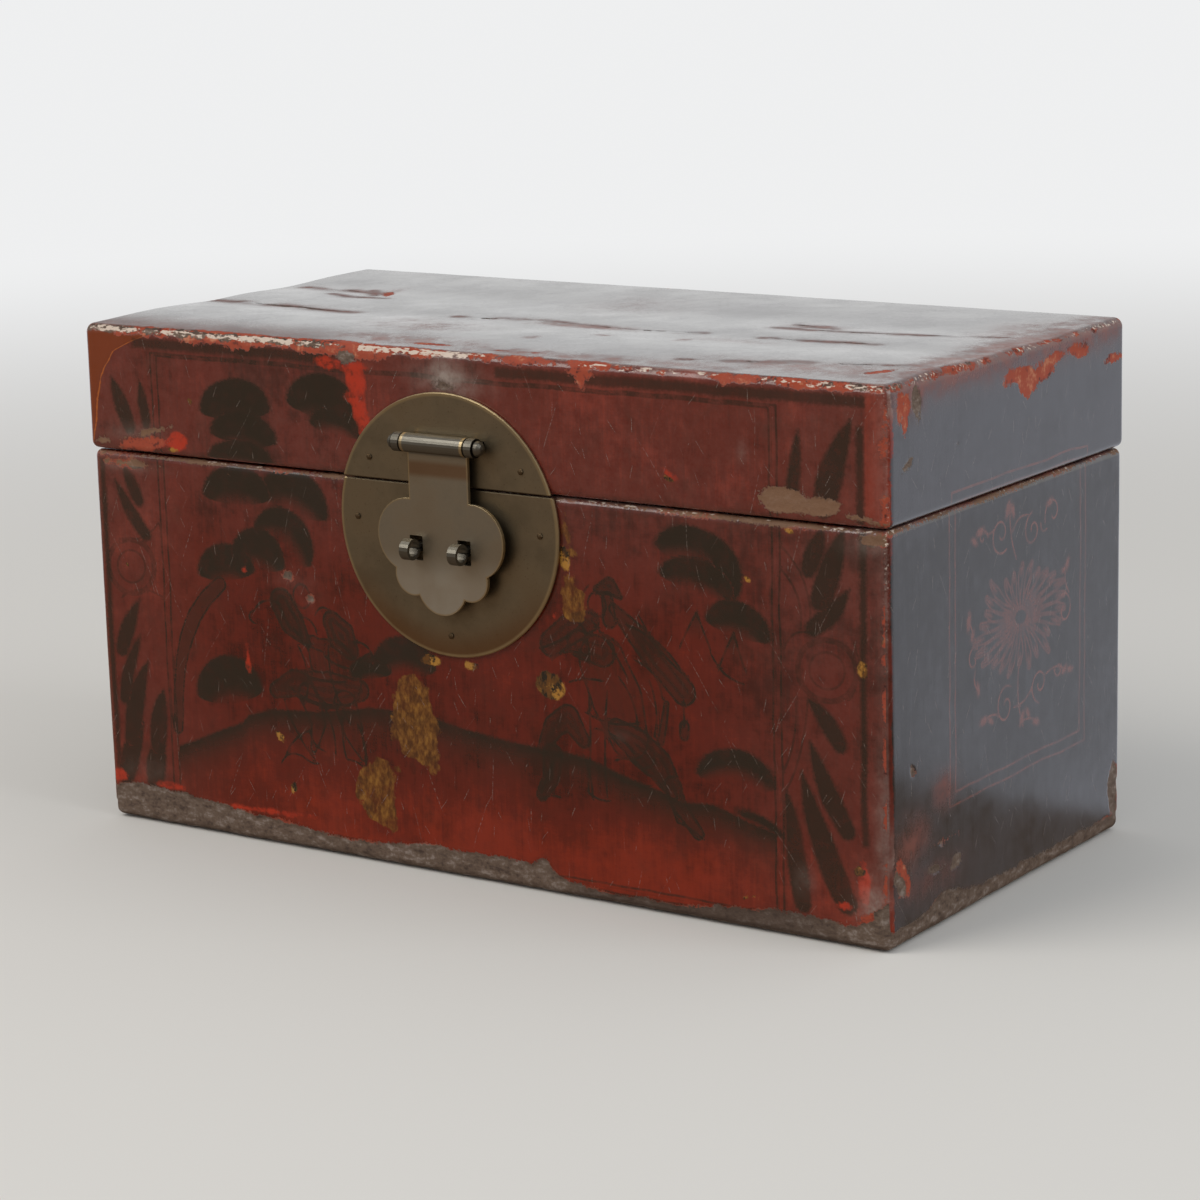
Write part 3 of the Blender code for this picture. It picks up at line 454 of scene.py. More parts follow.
BLADES = (  # lower end, upper end, width and bow of the long leaves in both borders
    (-176, 179, -185, 200, 8, 0), (-166, 181, -169, 199, 6, 0), (-174, 146, -182, 161, 7, 0),
    (-171, 131, -187, 154, 7, 1), (-188, 78, -176, 102, 8, 1), (-188, 56, -177, 86, 7, 1),
    (-185, 38, -173, 74, 10, 2),
    (-170, 36, -165, 62, 10, 1), (-190, 20, -178, 46, 11, 1), (-173, 19, -167, 42, 11, 1),
    (158, 176, 161, 203, 6, 0),
    (172, 174, 184, 208, 11, 1), (164, 149, 171, 166, 8, 0), (169, 137, 180, 166, 10, 0),
    (166, 126, 182, 143, 8, -1),
    (177, 81, 163, 98, 8, -1), (180, 47, 164, 81, 9, 1), (180, 18, 160, 69, 11, 2),
    (160, 15, 153, 61, 9, 0),
)
BORDER_FLOWERS = ((172, 110), (-180, 116))
FLOWER_RINGS = (8.0, 12.5, 14.0)
BARS = ((188.0, 1.5, 42, 206), (-193.5, 1.5, 18, 163))  # upright: place, half width, both ends
STRIPS = ((215.5, 2.2, -172, -62), (215.5, 2.2, 20, 190))  # level: height, half width, both ends
FRAME_GAPS = (0.0, 3.4)  # the two frame lines, from the inner one
BORDER_STEMS = (  # start, end and bow
    (152, 157, 165, 128, 4), (152, 148, 161, 127, 3), (153, 117, 166, 124, 3), (163, 97, 154, 62, 2),
    (158, 96, 152, 68, 2), (184, 122, 182, 100, 3), (-163, 137, -186, 128, 3), (-163, 104, -186, 102, -3),
)
BANK = (  # outline of the ground, left to right
    (-162, 36), (-150, 41), (-136, 47), (-121, 53), (-117, 57), (-104, 61), (-80, 63), (-52, 68), (-16, 68),
    (0, 65),
    (30, 62.5), (61, 61), (80, 55), (106, 49), (118, 50), (135, 45), (152, 41),
)
TREE = ((-158, 46), (-156.5, 62), (-154, 76), (-150, 88), (-145, 98), (-138, 106), (-130, 113))
PEAKS = ((113, 127, 8), (130, 120, 7))
STROKES = (  # robes, sleeves, sashes, packs and boots of two figures: chain of points, widths, density
    (((-96, 109), (-91, 101), (-83, 92)), (12, 13, 3), 0.92),
    (((-69, 103), (-64, 97), (-60, 92)), (10, 15, 8), 0.86),
    (((-80, 92), (-73, 86), (-69, 80)), (8, 24, 28), 0.5),
    (((-101, 70), (-91, 74), (-75, 73), (-56, 75)), (7, 13, 16, 9), 0.72),
    (((-84, 70), (-79, 58), (-82, 46)), (10, 8, 3), 0.4),
    (((-64, 68), (-60, 56), (-55, 46)), (12, 10, 3), 0.42),
    (((-58, 84), (-50, 88), (-42, 86)), (4, 7, 5), 0.78),
    (((66, 131), (72, 133), (77, 129)), (3, 7, 2), 0.92),
    (((71, 128), (72, 119)), (5, 6), 0.8),
    (((74, 124), (86, 113), (97, 103), (106, 94)), (4, 9, 12, 11), 0.76),
    (((63, 118), (52, 113), (43, 106)), (8, 12, 10), 0.72),
    (((57, 108), (68, 106)), (11, 12), 0.66),
    (((68, 102), (75, 86), (80, 72)), (22, 24, 18), 0.3),
    (((38, 62), (44, 72), (51, 77), (58, 68)), (5, 9, 10, 6), 0.74),
    (((43, 60), (42, 50), (37, 42)), (9, 8, 5), 0.9),
    (((74, 75), (84, 69), (94, 62), (100, 54)), (8, 14, 14, 9), 0.78),
    (((100, 55), (104, 46), (112, 37)), (7, 6, 5), 0.9),
    (((98, 88), (95, 72)), (2, 3), 0.6),
    (((106, 80), (106, 76)), (4, 4), 0.7),
)
FOLD_WIDTH, FOLD_SHARE = 3.6, 0.36  # pale folds along the strokes of the robes
HEADS = ((-85, 113, 5.2), (66, 125, 5.0))
FOLDS = (  # start, end and bow
    (-88, 90, -86, 66, 3), (-72, 92, -62, 60, -3), (-112, 103, -97, 108, 3), (-113, 103, -112, 98, -2),
    (-98, 40, -84, 54, 2), (-84, 54, -76, 46, -2), (-58, 60, -54, 42, 2), (61, 90, 60, 46, 1),
    (70, 90, 69, 46, -1),
    (60, 46, 70, 44, -1), (84, 104, 96, 90, 3), (106, 90, 106, 80, 0), (72, 56, 90, 53, -2),
    (74, 62, 86, 60, 2),
    (86, 60, 92, 66, -2), (52, 92, 68, 94, 1), (120, 110, 134, 100, -2), (90, 96, 92, 74, 2),
    (-97, 66, -82, 42, -2),
    (-100, 38, -88, 42, 2), (-88, 42, -80, 40, -1), (-76, 66, -70, 46, 2), (-66, 62, -64, 44, -1),
    (-64, 44, -54, 41, 1),
    (-86, 104, -78, 98, 2), (-90, 98, -76, 90, -2), (-78, 106, -70, 108, 2), (-74, 88, -60, 84, -1),
    (-90, 80, -64, 78, -2),
    (-94, 72, -66, 68, -3), (-58, 96, -48, 90, 2), (38, 104, 60, 118, -2), (44, 100, 60, 104, 2),
    (56, 120, 62, 100, 2),
    (64, 118, 80, 96, 1), (76, 96, 84, 76, 2), (60, 80, 84, 78, -2), (64, 74, 82, 66, 2),
    (58, 62, 62, 44, 1),
    (46, 60, 36, 40, -1), (36, 40, 46, 42, 1), (92, 58, 102, 40, 1), (102, 40, 114, 35, 1),
    (80, 118, 96, 108, 2),
    (86, 122, 108, 100, -2), (58, 124, 62, 132, 1),
)
GILT = (  # patches of gold size: chain of points, widths
    (((-27, 77), (-28, 66), (-24, 57), (-19, 47)), (14, 25, 21, 7)),
    (((-45, 39), (-50, 33), (-48, 26), (-43, 19)), (13, 20, 18, 6)),
    (((53, 131), (54, 122)), (7, 8)),
    (((52, 156), (54, 148)), (3, 4)),
)
GILT_FLECKS = (  # place, radii, tilt
    (42, 89, 7.5, 6.0, 0), (-17, 92.5, 4.5, 2.4, 0), (3, 92.5, 3.0, 1.6, 0), (188, 112, 2.2, 3.6, 0),
    (51, 142, 2, 5, 10),
    (-101, 50, 3.2, 1.8, -40), (-94, 27, 2.0, 2.4, 0), (137, 142, 1.5, 1.1, 10), (156, 163, 2.8, 1.4, -10),
    (-198, 86, 1.6, 1.8, 0), (136, 14, 2.4, 0.8, 15), (185, 32, 2.6, 2.6, 0), (-153, 170, 3, 0.8, 0),
    (-182, 117, 1.0, 1.0, 0), (102, 179, 2.4, 1.0, -20), (198, 124, 1.6, 2.4, 0), (-141, 192, 1, 1, 0),
)
VIVID_SPOTS = (
    (-58, 213, 13, 2.4, -4), (-50, 207, 5.5, 7.5, 10), (-52, 201, 4.5, 2.2, 10), (-49, 196, 3, 7, 0),
    (-47, 188, 3, 6, 0),
    (-116, 121, 1.6, 1.6, 0), (-116, 83, 1.2, 5, 0), (45, 118, 0.8, 1.0, 0), (-149, 174, 6, 4, 15),
    (-163, 171, 9, 1.6, 12),
    (188, 24, 2.4, 9, 0), (178, 17, 4, 1.0, 0), (-195, 20, 5, 3, 0), (-166, 19, 6, 1.4, 0),
    (-120, 14.5, 22, 1.0, 2), (102, 181, 2.4, 0.9, -30), (-180, 2, 12, 0.8, 0),
)
AMBER_EDGE = (  # height, place along the front
    (166, -199), (172, -197), (180, -195), (192, -193), (203, -189), (211, -183), (216, -172), (220, -160),
)
HAZE_AND_HIGHLIGHT = (  # pale grime, and a painted highlight down the front-right corner: place, radii, strength
    (-4, 211, 14, 7, 0.55), (19, 208, 4, 4, 0.1), (-88, 118, 12, 6, 0.05), (-80, 110, 6, 5, 0.04),
    (136, 192, 2.5, 4, 0.2),
    (190, 160, 9, 4, 0.2), (-172, 176, 14, 4, 0.16), (197, 40, 4, 40, 0.25), (193, 19, 7, 11, 0.4),
    (76, 72, 5, 2, 0.05),
    (-180, 161, 16, 3, 0.2), (-178, 24, 12, 5, 0.08), (161, 24, 4.5, 5.5, 0.14),
)


def paint_figures(painting):
    """Two robed figures of a common kind in broad strokes, with round heads and thin lines for folds."""
    x, z = painting.x, painting.z
    for points, widths, density in STROKES:
        stroke = brush(x, z, points, widths)
        painting.lay(stroke, density * (1 - FOLD_SHARE * np.sin(stroke * math.pi / FOLD_WIDTH) ** 2))
        painting.draw(stroke, 0.85)
    for middle_x, middle_z, radius in HEADS:
        painting.draw(ellipse(x, z, (middle_x, middle_z), (0.85 * radius, radius)), 0.8)
    for start_x, start_z, end_x, end_z, bow in FOLDS:
        painting.line(curve((start_x, start_z), (end_x, end_z), bow), 0.9)


def paint_front(x, z):
    """Foliage, a bank of ground, two figures and leafy borders behind thin frame lines, in black-brown."""
    painting = Painting(x, z)
    bank = np.interp(x, *zip(*BANK))
    inside = (x > FRAME_LEFT) & (x < FRAME_RIGHT)
    painting.lay(np.where(inside, z - bank, FAR), 0.95 * np.exp(-((np.maximum(bank - z, 0) / 11) ** 1.6)))
    trunk = brush(x, z, TREE, (5, 5, 5, 6, 7, 7, 6))
    painting.lay(trunk, np.full(x.shape, 0.5))
    painting.draw(trunk, 0.85)
    paint_figures(painting)
    for middle_x, middle_z, wide, tall, tilt, fade in PADS:
        body, share = pad(x, z, (middle_x, middle_z), (wide, tall), tilt, fade)
        painting.lay(body, 0.96 * share)
    for across, top, half in PEAKS:
        painting.line(((across - half, top - 15), (across, top), (across + 0.8 * half, top - 15)), 0.8)
        peak = brush(x, z, ((across, top - 1), (across - 1, top - 15)), (2, 1.6 * half))
        painting.lay(peak, 0.6 * smoothstep(z, top - 13, top))
    for foot_x, foot_z, tip_x, tip_z, width, bow in BLADES:
        painting.lay(blade(x, z, (foot_x, foot_z), (tip_x, tip_z), width, bow), np.full(x.shape, 0.86))
    for flower_x, flower_z in BORDER_FLOWERS:
        for reach in FLOWER_RINGS:
            painting.draw(ellipse(x, z, (flower_x, flower_z), (reach, 0.9 * reach), 20), 0.45)
    for start_x, start_z, end_x, end_z, bow in BORDER_STEMS:
        painting.line(curve((start_x, start_z), (end_x, end_z), bow), 0.55)
    for bar, half, low, high in BARS:
        beyond = np.abs(z - (low + high) / 2) - (high - low) / 2
        painting.lay(np.maximum(np.abs(x - bar) - half, beyond), 0.8)
    for strip, half, left, right in STRIPS:
        beyond = np.abs(x - (left + right) / 2) - (right - left) / 2
        painting.lay(np.maximum(np.abs(z - strip) - half, beyond), 0.72)
    for gap in FRAME_GAPS:
        painting.box((FRAME_LEFT - gap, FRAME_LOW - gap), (FRAME_RIGHT + gap, FRAME_HIGH + 0.3 * gap), 0.7)
    return painting


# The ends: a chrysanthemum between scrolls in a double frame, places from the middle of the end

FLOWER = (8.0, 112.0)
FLOWER_HALF = (37.0, 23.0)
PETALS = 26
CURLS = (  # middle, radius, first angle, turns
    (-9, 149, 8.5, -60, -1.2), (18, 146, 7.5, 100, 1.2), (36, 150, 7.5, 200, -0.9), (-5, 78, 8.5, 60, 1.2),
    (24, 81, 7.5, -100, -1.2), (-32, 103, 5.5, 60, 0.9), (46, 107, 7.5, 120, -1.0), (-24, 150, 4.0, 0, 0.8),
    (41, 84, 4.0, 180, 0.8),
)
STEMS = (  # start, end, bow
    (4, 137, -1, 160, 2), (1, 148, 12, 153, 2), (25, 147, 30, 144, -2), (6, 90, 10, 67, -2),
    (3, 76, 18, 82, -2),
    (-37, 120, -33, 108, 2), (-31, 98, -28, 89, -2), (50, 114, 48, 126, 2), (-15, 152, -24, 154, 2),
    (-12, 76, -23, 76, -1), (30, 84, 47, 82, 2), (10, 69, 22, 66, 1),
)
BUDS = (  # middle, length, tilt
    (-26, 153, 3.2, 10), (-31, 150, 2.6, -30), (33, 155, 2.8, 20), (-3, 158, 3.4, 70), (1, 157, 3.0, 110),
    (-36, 119, 3.6, 80), (-33, 113, 2.4, 60), (-29, 90, 2.8, 100), (49, 126, 2.8, 60), (46, 124, 2.4, 10),
    (-24, 76, 3.4, 5), (-18, 75, 2.4, -20), (46, 82, 2.6, 20), (51, 81, 2.6, -10), (21, 66, 2.8, -15),
    (9, 70, 3.0, 60),
    (14, 71, 2.6, 120),
)


def paint_end(y, z):
    """A chrysanthemum of thin petals with full tips, scrolls above and below it, and two thin frames."""
    painting = Painting(y, z)
    painting.box((-47.5, 53), (60.5, 169), 0.5)
    painting.box((-52, 48), (65, 173.5), 0.5)
    reach = np.random.default_rng(5).uniform(0.8, 1.08, PETALS)
    for i in range(PETALS):
        angle = 2 * math.pi * (i + 0.3) / PETALS
        way = np.array((FLOWER_HALF[0] * math.cos(angle), FLOWER_HALF[1] * math.sin(angle)))
        petal = curve(FLOWER + 0.14 * way, FLOWER + reach[i] * way, 1.2)
        painting.draw(brush(y, z, petal, (0.2, 0.6, 2.4, 4.0, 2.4)), 0.48)
        painting.lay(brush(y, z, petal[-3:], (0.4, 2.2, 1.6)), np.full(y.shape, 0.5))
    for middle_x, middle_z, radius, first, turns in CURLS:
        painting.line(spiral((middle_x, middle_z), radius, first, turns), 0.68)
    for start_x, start_z, end_x, end_z, bow in STEMS:
        painting.line(curve((start_x, start_z), (end_x, end_z), bow), 0.62)
    for middle_x, middle_z, length, tilt in BUDS:
        painting.lay(ellipse(y, z, (middle_x, middle_z), (length, 0.5 * length), tilt), np.full(y.shape, 0.7))
    return painting


# Wear: distances in millimetres, negative where the lacquer is gone

def nearest(*distances):
    return np.minimum.reduce(distances)


def spots(x, z, table):
    """The nearest of a table of ellipses."""
    return nearest(*(ellipse(x, z, row[:2], row[2:4], row[4]) for row in table))


def clouds(x, z, table, p, seed):
    """The strongest of a table of soft spots, each a bell over its radii, broken by noise."""
    bells = [row[4] * np.exp(-(((x - row[0]) / row[2]) ** 2) - ((z - row[1]) / row[3]) ** 2) for row in table]
    return np.maximum.reduce(bells) * np.clip(1 + 0.9 * rough(p, 7, seed), 0, 2)


FRONT_CHIPS = (  # place, radii, tilt: orange undercoat
    (-166, 172, 15, 3.6, 10), (61, 218, 5, 2.0, 0), (61, 215, 2.4, 4.0, 0), (192, 13, 7, 4, 20),
    (198, 120, 1.0, 60, 0),
)
FRONT_BARE = (  # place, radii, tilt: pale ground
    (152, 174.6, 8, 4.6, 0), (160, 174.6, 10, 4.6, 0), (169, 174.2, 10, 4.2, -2), (188, 171.0, 5, 0.6, -8),
    (-168, 176, 9, 0.4, 14),
    (-191, 171, 3.5, 1.6, 0), (-4, 208, 6.0, 2.2, 0), (196, 14, 5, 5, 0), (194, 163, 5, 1.8, 0),
    (-92, 121, 1.4, 1.0, 0),
    (-80, 112, 1.2, 1.2, 0), (-54, 216, 4, 1.8, 0), (-180, 162, 7, 0.3, 0),
)
RIGHT_CHIPS = (  # places from the front of the end
    (9.5, 213, 1.8, 5, -8), (14, 212, 1.6, 6.5, -12), (102, 211, 9, 4, 0), (112, 208, 9, 5.5, -10),
    (124, 209, 10, 3.4, 10), (140, 214, 18, 2.2, 4),
    (162, 213, 4, 2.2, 0), (190, 206, 7, 1.0, 0), (10, 30, 3, 8, 30),
)
RIGHT_BARE = (
    (7, 28, 3, 6, 30), (21.5, 213, 2.6, 5, 10), (52, 24, 3.8, 2.4, 20), (38, 35, 5, 1.0, 0),
    (34, 26, 6, 1.2, -10),
    (18, 70, 1.8, 3.0, 30), (15, 190, 3.4, 1.4, 25), (54, 192, 1.2, 1.2, 0), (194, 20, 5, 14, 0),
)
RIGHT_TINTS = (  # red-brown seen through thin black: place from the front of the end, radii, strength
    (18, 40, 13, 10, 0.9), (44, 56, 9, 7, 0.75), (30, 22, 26, 8, 0.4), (70, 220, 80, 7, 1.1),
    (160, 220, 70, 7, 1.1),
    (16, 218, 16, 8, 1.2), (56, 6, 14, 4, 0.8),
)
TOP_TINTS = (  # place from the middle of the top, radii, strength
    (-55, -48, 26, 20, 0.5), (8, -15, 24, 5, 1.2), (-8, 45, 24, 22, 0.25), (194, 0, 12, 110, 1.2),
    (178, 45, 14, 30, 0.6),
    (-40, -82, 40, 10, 0.9), (60, -90, 90, 8, 0.8), (150, -78, 50, 14, 0.7), (85, -26, 20, 8, 0.4),
    (30, -38, 4, 3, 0.8),
    (68, -35, 3, 5, 0.9), (8, -58, 3, 4, 0.9), (96, 26, 12, 4, 1.2), (-140, 38, 4, 12, 0.7),
    (-70, -40, 10, 16, 0.5),
)
TOP_CHIPS = (
    (-20, -88, 8, 1.2, 0), (14, -90, 10, 1.2, 4), (182, -74, 5, 1.4, 60), (-136, 34, 4, 1.0, -62),
)
FOOT_EDGE = (  # place along the front, height of the bare band
    (-200, 15), (-185, 17), (-155, 16.5), (-140, 15), (-120, 12.5), (-100, 11), (-85, 9.5), (-70, 8),
    (-50, 9), (-25, 12.5),
    (30, 12.5), (38, 15), (44, 8), (70, 4.5), (85, 6), (100, 4.5), (125, 8), (155, 11), (170, 10),
    (180, 8.5), (190, 12), (200, 14),
)
EDGE_CHIPS = (  # place along the lid's front edge, depth of the orange strip under it
    (-200, 0.5), (-150, 4.0), (-120, 4.8), (-90, 4.4), (-60, 5.0), (-40, 4.2), (-8, 2.8), (0, 0.6),
    (16, 2.8), (70, 3.0),
    (80, 0.6), (116, 1.0), (126, 3.0), (165, 3.0), (200, 2.4),
)
EDGE_RUB_AND_GLINTS = (  # place along the lid's front edge, share of rubbing and chalk flecks, partly painted glints of light
    (-200, 0.8), (-150, 1.0), (-100, 1.15), (-60, 1.2), (-40, 1.0), (40, 0.8), (60, 0.5), (200, 0.55),
)
EDGE_BARE = ((-200, 2.2), (-150, 2.4), (-62, 1.7), (-50, 0.3), (120, 0.2), (180, 1.0), (200, 1.6))


BASE_DEPTH = 200  # front to back, in millimetres


def torn(distance, p, seed):
    """A distance with a torn edge: shifted by noise of two sizes."""
    return distance + 2.2 * rough(p, 11, seed) + 1.1 * rough(p, 4, seed + 2)


def wear_of_base(skin):
    """Bare ground along the foot, chips at the corners and the front-right foot, rubbed edges."""
    p = skin.points / MM
    x, y, z = p[..., 0], p[..., 1] - BASE_LOW.y / MM, p[..., 2]
    on_front = skin.normals[..., 1] < -0.6
    on_right = skin.normals[..., 0] > 0.6
    foot = np.where(on_front, np.interp(x, *zip(*FOOT_EDGE)), 8.5 + 5 * np.exp(-(((y - 46) / 16) ** 2)))
    bare = z - foot + 1.4 * rough(p, 15, 3) + 0.9 * rough(p, 4, 4)
    corner = np.hypot(BASE_HIGH.x / MM - np.abs(x), np.minimum(y, BASE_DEPTH - y))
    bare = nearest(bare, torn(corner - 1.6 + 0.12 * z, p, 5))
    bare = np.where(on_front, nearest(bare, torn(spots(x, z, FRONT_BARE), p, 6)), bare)
    bare = np.where(on_right, nearest(bare, torn(spots(y, z, RIGHT_BARE), p, 7)), bare)
    seam = BASE_HIGH.z / MM - z
    mouth = np.hypot(seam, nearest(BASE_HIGH.x / MM - np.abs(x), y, BASE_DEPTH - y))
    bare = nearest(bare, mouth - 1.5 + 1.0 * rough(p, 20, 73))
    chip = np.where(on_right, spots(y, z, RIGHT_CHIPS), np.where(on_front, spots(x, z, FRONT_CHIPS), FAR))
    chip = nearest(torn(chip, p, 8), bare + 0.2 + 1.6 * rough(p, 20, 9))
    rub = 0.4 * smoothstep(1.2 - seam + 1.2 * rough(p, 26, 10), 0, 0.8) * (skin.normals[..., 2] < 0.85)
    rub = np.maximum(rub, 0.55 * smoothstep(2.6 - corner + 1.5 * rough(p, 30, 11), 0, 2.5))
    earth = 0.5 - 0.35 * smoothstep(x, 40, 60) + 0.25 * smoothstep(x, 150, 190)
    earth = np.where(on_front, earth - 0.35 * smoothstep(-z, -3.5, -1.0), 0.45)
    return bare, chip, rub, np.where(seam < 6, 0.95, earth)


def wear_of_lid(skin):
    """Chips all along the upper edges, bare spots at the mouth, cracks over the plank joints."""
    p = skin.points / MM
    x, y, z = p[..., 0], p[..., 1] - LID_LOW.y / MM, p[..., 2]
    depth = (LID_HIGH.y - LID_LOW.y) / MM
    end = LID_HIGH.x / MM - np.abs(x)
    drop = LID_HIGH.z / MM - z
    on_front = skin.normals[..., 1] < -0.35
    on_right = skin.normals[..., 0] > 0.35
    on_top = skin.normals[..., 2] > 0.8
    by_front = y < 12
    edge = np.hypot(np.minimum(np.minimum(y, depth - y), end), drop)
    strip = np.where(by_front, np.interp(x, *zip(*EDGE_CHIPS)), 1.6)
    chip = edge - strip + 1.8 * rough(p, 12, 12) + 1.8 * rough(p, 4, 13)
    chip = np.where(on_front, nearest(chip, torn(spots(x, z, FRONT_CHIPS), p, 14)), chip)
    chip = np.where(on_right, nearest(chip, torn(spots(y, z, RIGHT_CHIPS), p, 15)), chip)
    chip = np.where(on_top, nearest(chip, torn(spots(x, y - depth / 2, TOP_CHIPS), p, 59)), chip)
    bare = edge - np.where(by_front, np.interp(x, *zip(*EDGE_BARE)), 0.2)
    bare = bare + 2.4 * rough(p, 6, 16) + 1.0 * rough(p, 3, 17)
    bare = np.where(on_front, nearest(bare, torn(spots(x, z, FRONT_BARE), p, 18)), bare)
    bare = np.where(on_right, nearest(bare, torn(spots(y, z, RIGHT_BARE), p, 19)), bare)
    crack, flake, stain = plank_cracks(x, y, p)
    bare = np.where(on_top, nearest(bare, flake), bare)
    upright = np.hypot(end, np.minimum(y, depth - y))
    patchy = np.clip(0.72 + 1.1 * rough(p, 11, 71), 0.1, 1.1)
    # Pale rubbing along the upper edges; along the lid's front edge it is partly painted glints of light
    rub = np.where(by_front, np.interp(x, *zip(*EDGE_RUB_AND_GLINTS)), 0.35) * smoothstep(3.1 - edge, 0, 1.5) * patchy
    rub = np.maximum(rub, 0.45 * smoothstep(2.6 - upright + rough(p, 30, 20), 0, 2.5))
    earth = np.where(z < 182, 1.0, np.where(on_top, 0.0, 0.75))
    margin = 0.5 * smoothstep(x, 172, 198) * np.clip(0.5 + rough(p, 9, 67), 0, 1)
    margin = np.maximum(margin, (0.12 + 0.5 * smoothstep(-x, 20, 110)) * smoothstep(-y, -40, -5))
    stain = np.where(on_top, np.maximum(stain, margin), 0)
    return bare, chip, rub, earth, np.where(on_top, crack, FAR), stain


CRACKS = (  # chains of places on the top, from its middle, and the widths of the flaked strip along each
    (((-200, -16), (-160, -18), (-112, -23)), (4, 7, 8, 9, 5)),
    (((-62, -14), (-36, -11), (-20, -8), (0, -11), (28, -14), (62, -12)), (1.5, 5, 3, 3.5, 5, 1.5)),
    (((-186, 38), (-160, 37), (-140, 32)), (4, 6, 4)),
    (((-160, 24), (-146, 18), (-128, 20)), (1, 4, 3)),
    (((-150, 40), (-138, 28)), (3, 4)),
    (((82, 16), (120, 15), (140, 19), (180, 32)), (4, 4, 5, 4, 1.5)),
    (((83, 29), (106, 22)), (7, 8, 2)),
    (((92, -12), (120, -11), (144, -9)), (2, 5, 2.5, 4, 1)),
    (((95, -80), (130, -72), (185, -58)), (2, 5, 4, 3)),
)


def plank_cracks(x, y, p):
    """Distances to the broken cracks over the plank joints and to flaked lacquer on them, and a stain."""
    crack = np.full(x.shape, FAR)
    flake = np.full(x.shape, FAR)
    stain = np.zeros(x.shape)
    y = y - (LID_HIGH.y - LID_LOW.y) / 2 / MM + 1.6 * rough(p, 16, 21)
    for points, widths in CRACKS:
        _, near, share = along_line(x, y, points)
        half = np.interp(share, np.linspace(0, 1, len(widths)), widths) / 2
        crack = nearest(crack, near - 0.2 + 1.6 * noise(p, 9, 25))
        flake = nearest(flake, near - 0.5 * half)
        stain = np.maximum(stain, np.exp(-((near / (half + 2.5)) ** 2)))
    return crack, flake + 2.4 * rough(p, 8, 23) + 1.5, stain * np.clip(0.55 + 0.9 * rough(p, 13, 69), 0, 1)


def ground_tone(skin):
    """How bright the lacquer is, from 0 to 1: brighter low, at the right corner and by the plate."""
    p = skin.points / MM
    x, z = p[..., 0], p[..., 2]
    by_plate = np.exp(-(((x + 46) / 14) ** 2))
    tone = 0.44 + 0.3 * smoothstep(-z, -58, -16) + 0.26 * by_plate * smoothstep(z, 165, 200)
    tone = tone - 0.1 * smoothstep(z, 105, 175) + 0.2 * smoothstep(z, 160, 172) * smoothstep(x, -20, 40)
    tone = tone + 0.3 * smoothstep(x, 189, 190.5) * smoothstep(z, 150, 175)
    tone = tone + 0.1 * smoothstep(-x, 110, 150) * smoothstep(z, 45, 70) + 0.13 * rough(p, 55, 31)
    return np.clip(tone, 0, 1)


def tints(skin, stain):
    """Share of red-brown that shows through the black, on the top, its cracks and the ends."""
    p = skin.points / MM
    x, y, z = p[..., 0], p[..., 1] - LID_LOW.y / MM, p[..., 2]
    on_top = skin.normals[..., 2] > 0.6
    middle = y - (LID_HIGH.y - LID_LOW.y) / 2 / MM
    top = np.maximum(clouds(x, middle, TOP_TINTS, p, 61), stain)
    return np.clip(np.where(on_top, top, clouds(y, z, RIGHT_TINTS, p, 63)), 0, 1.2)


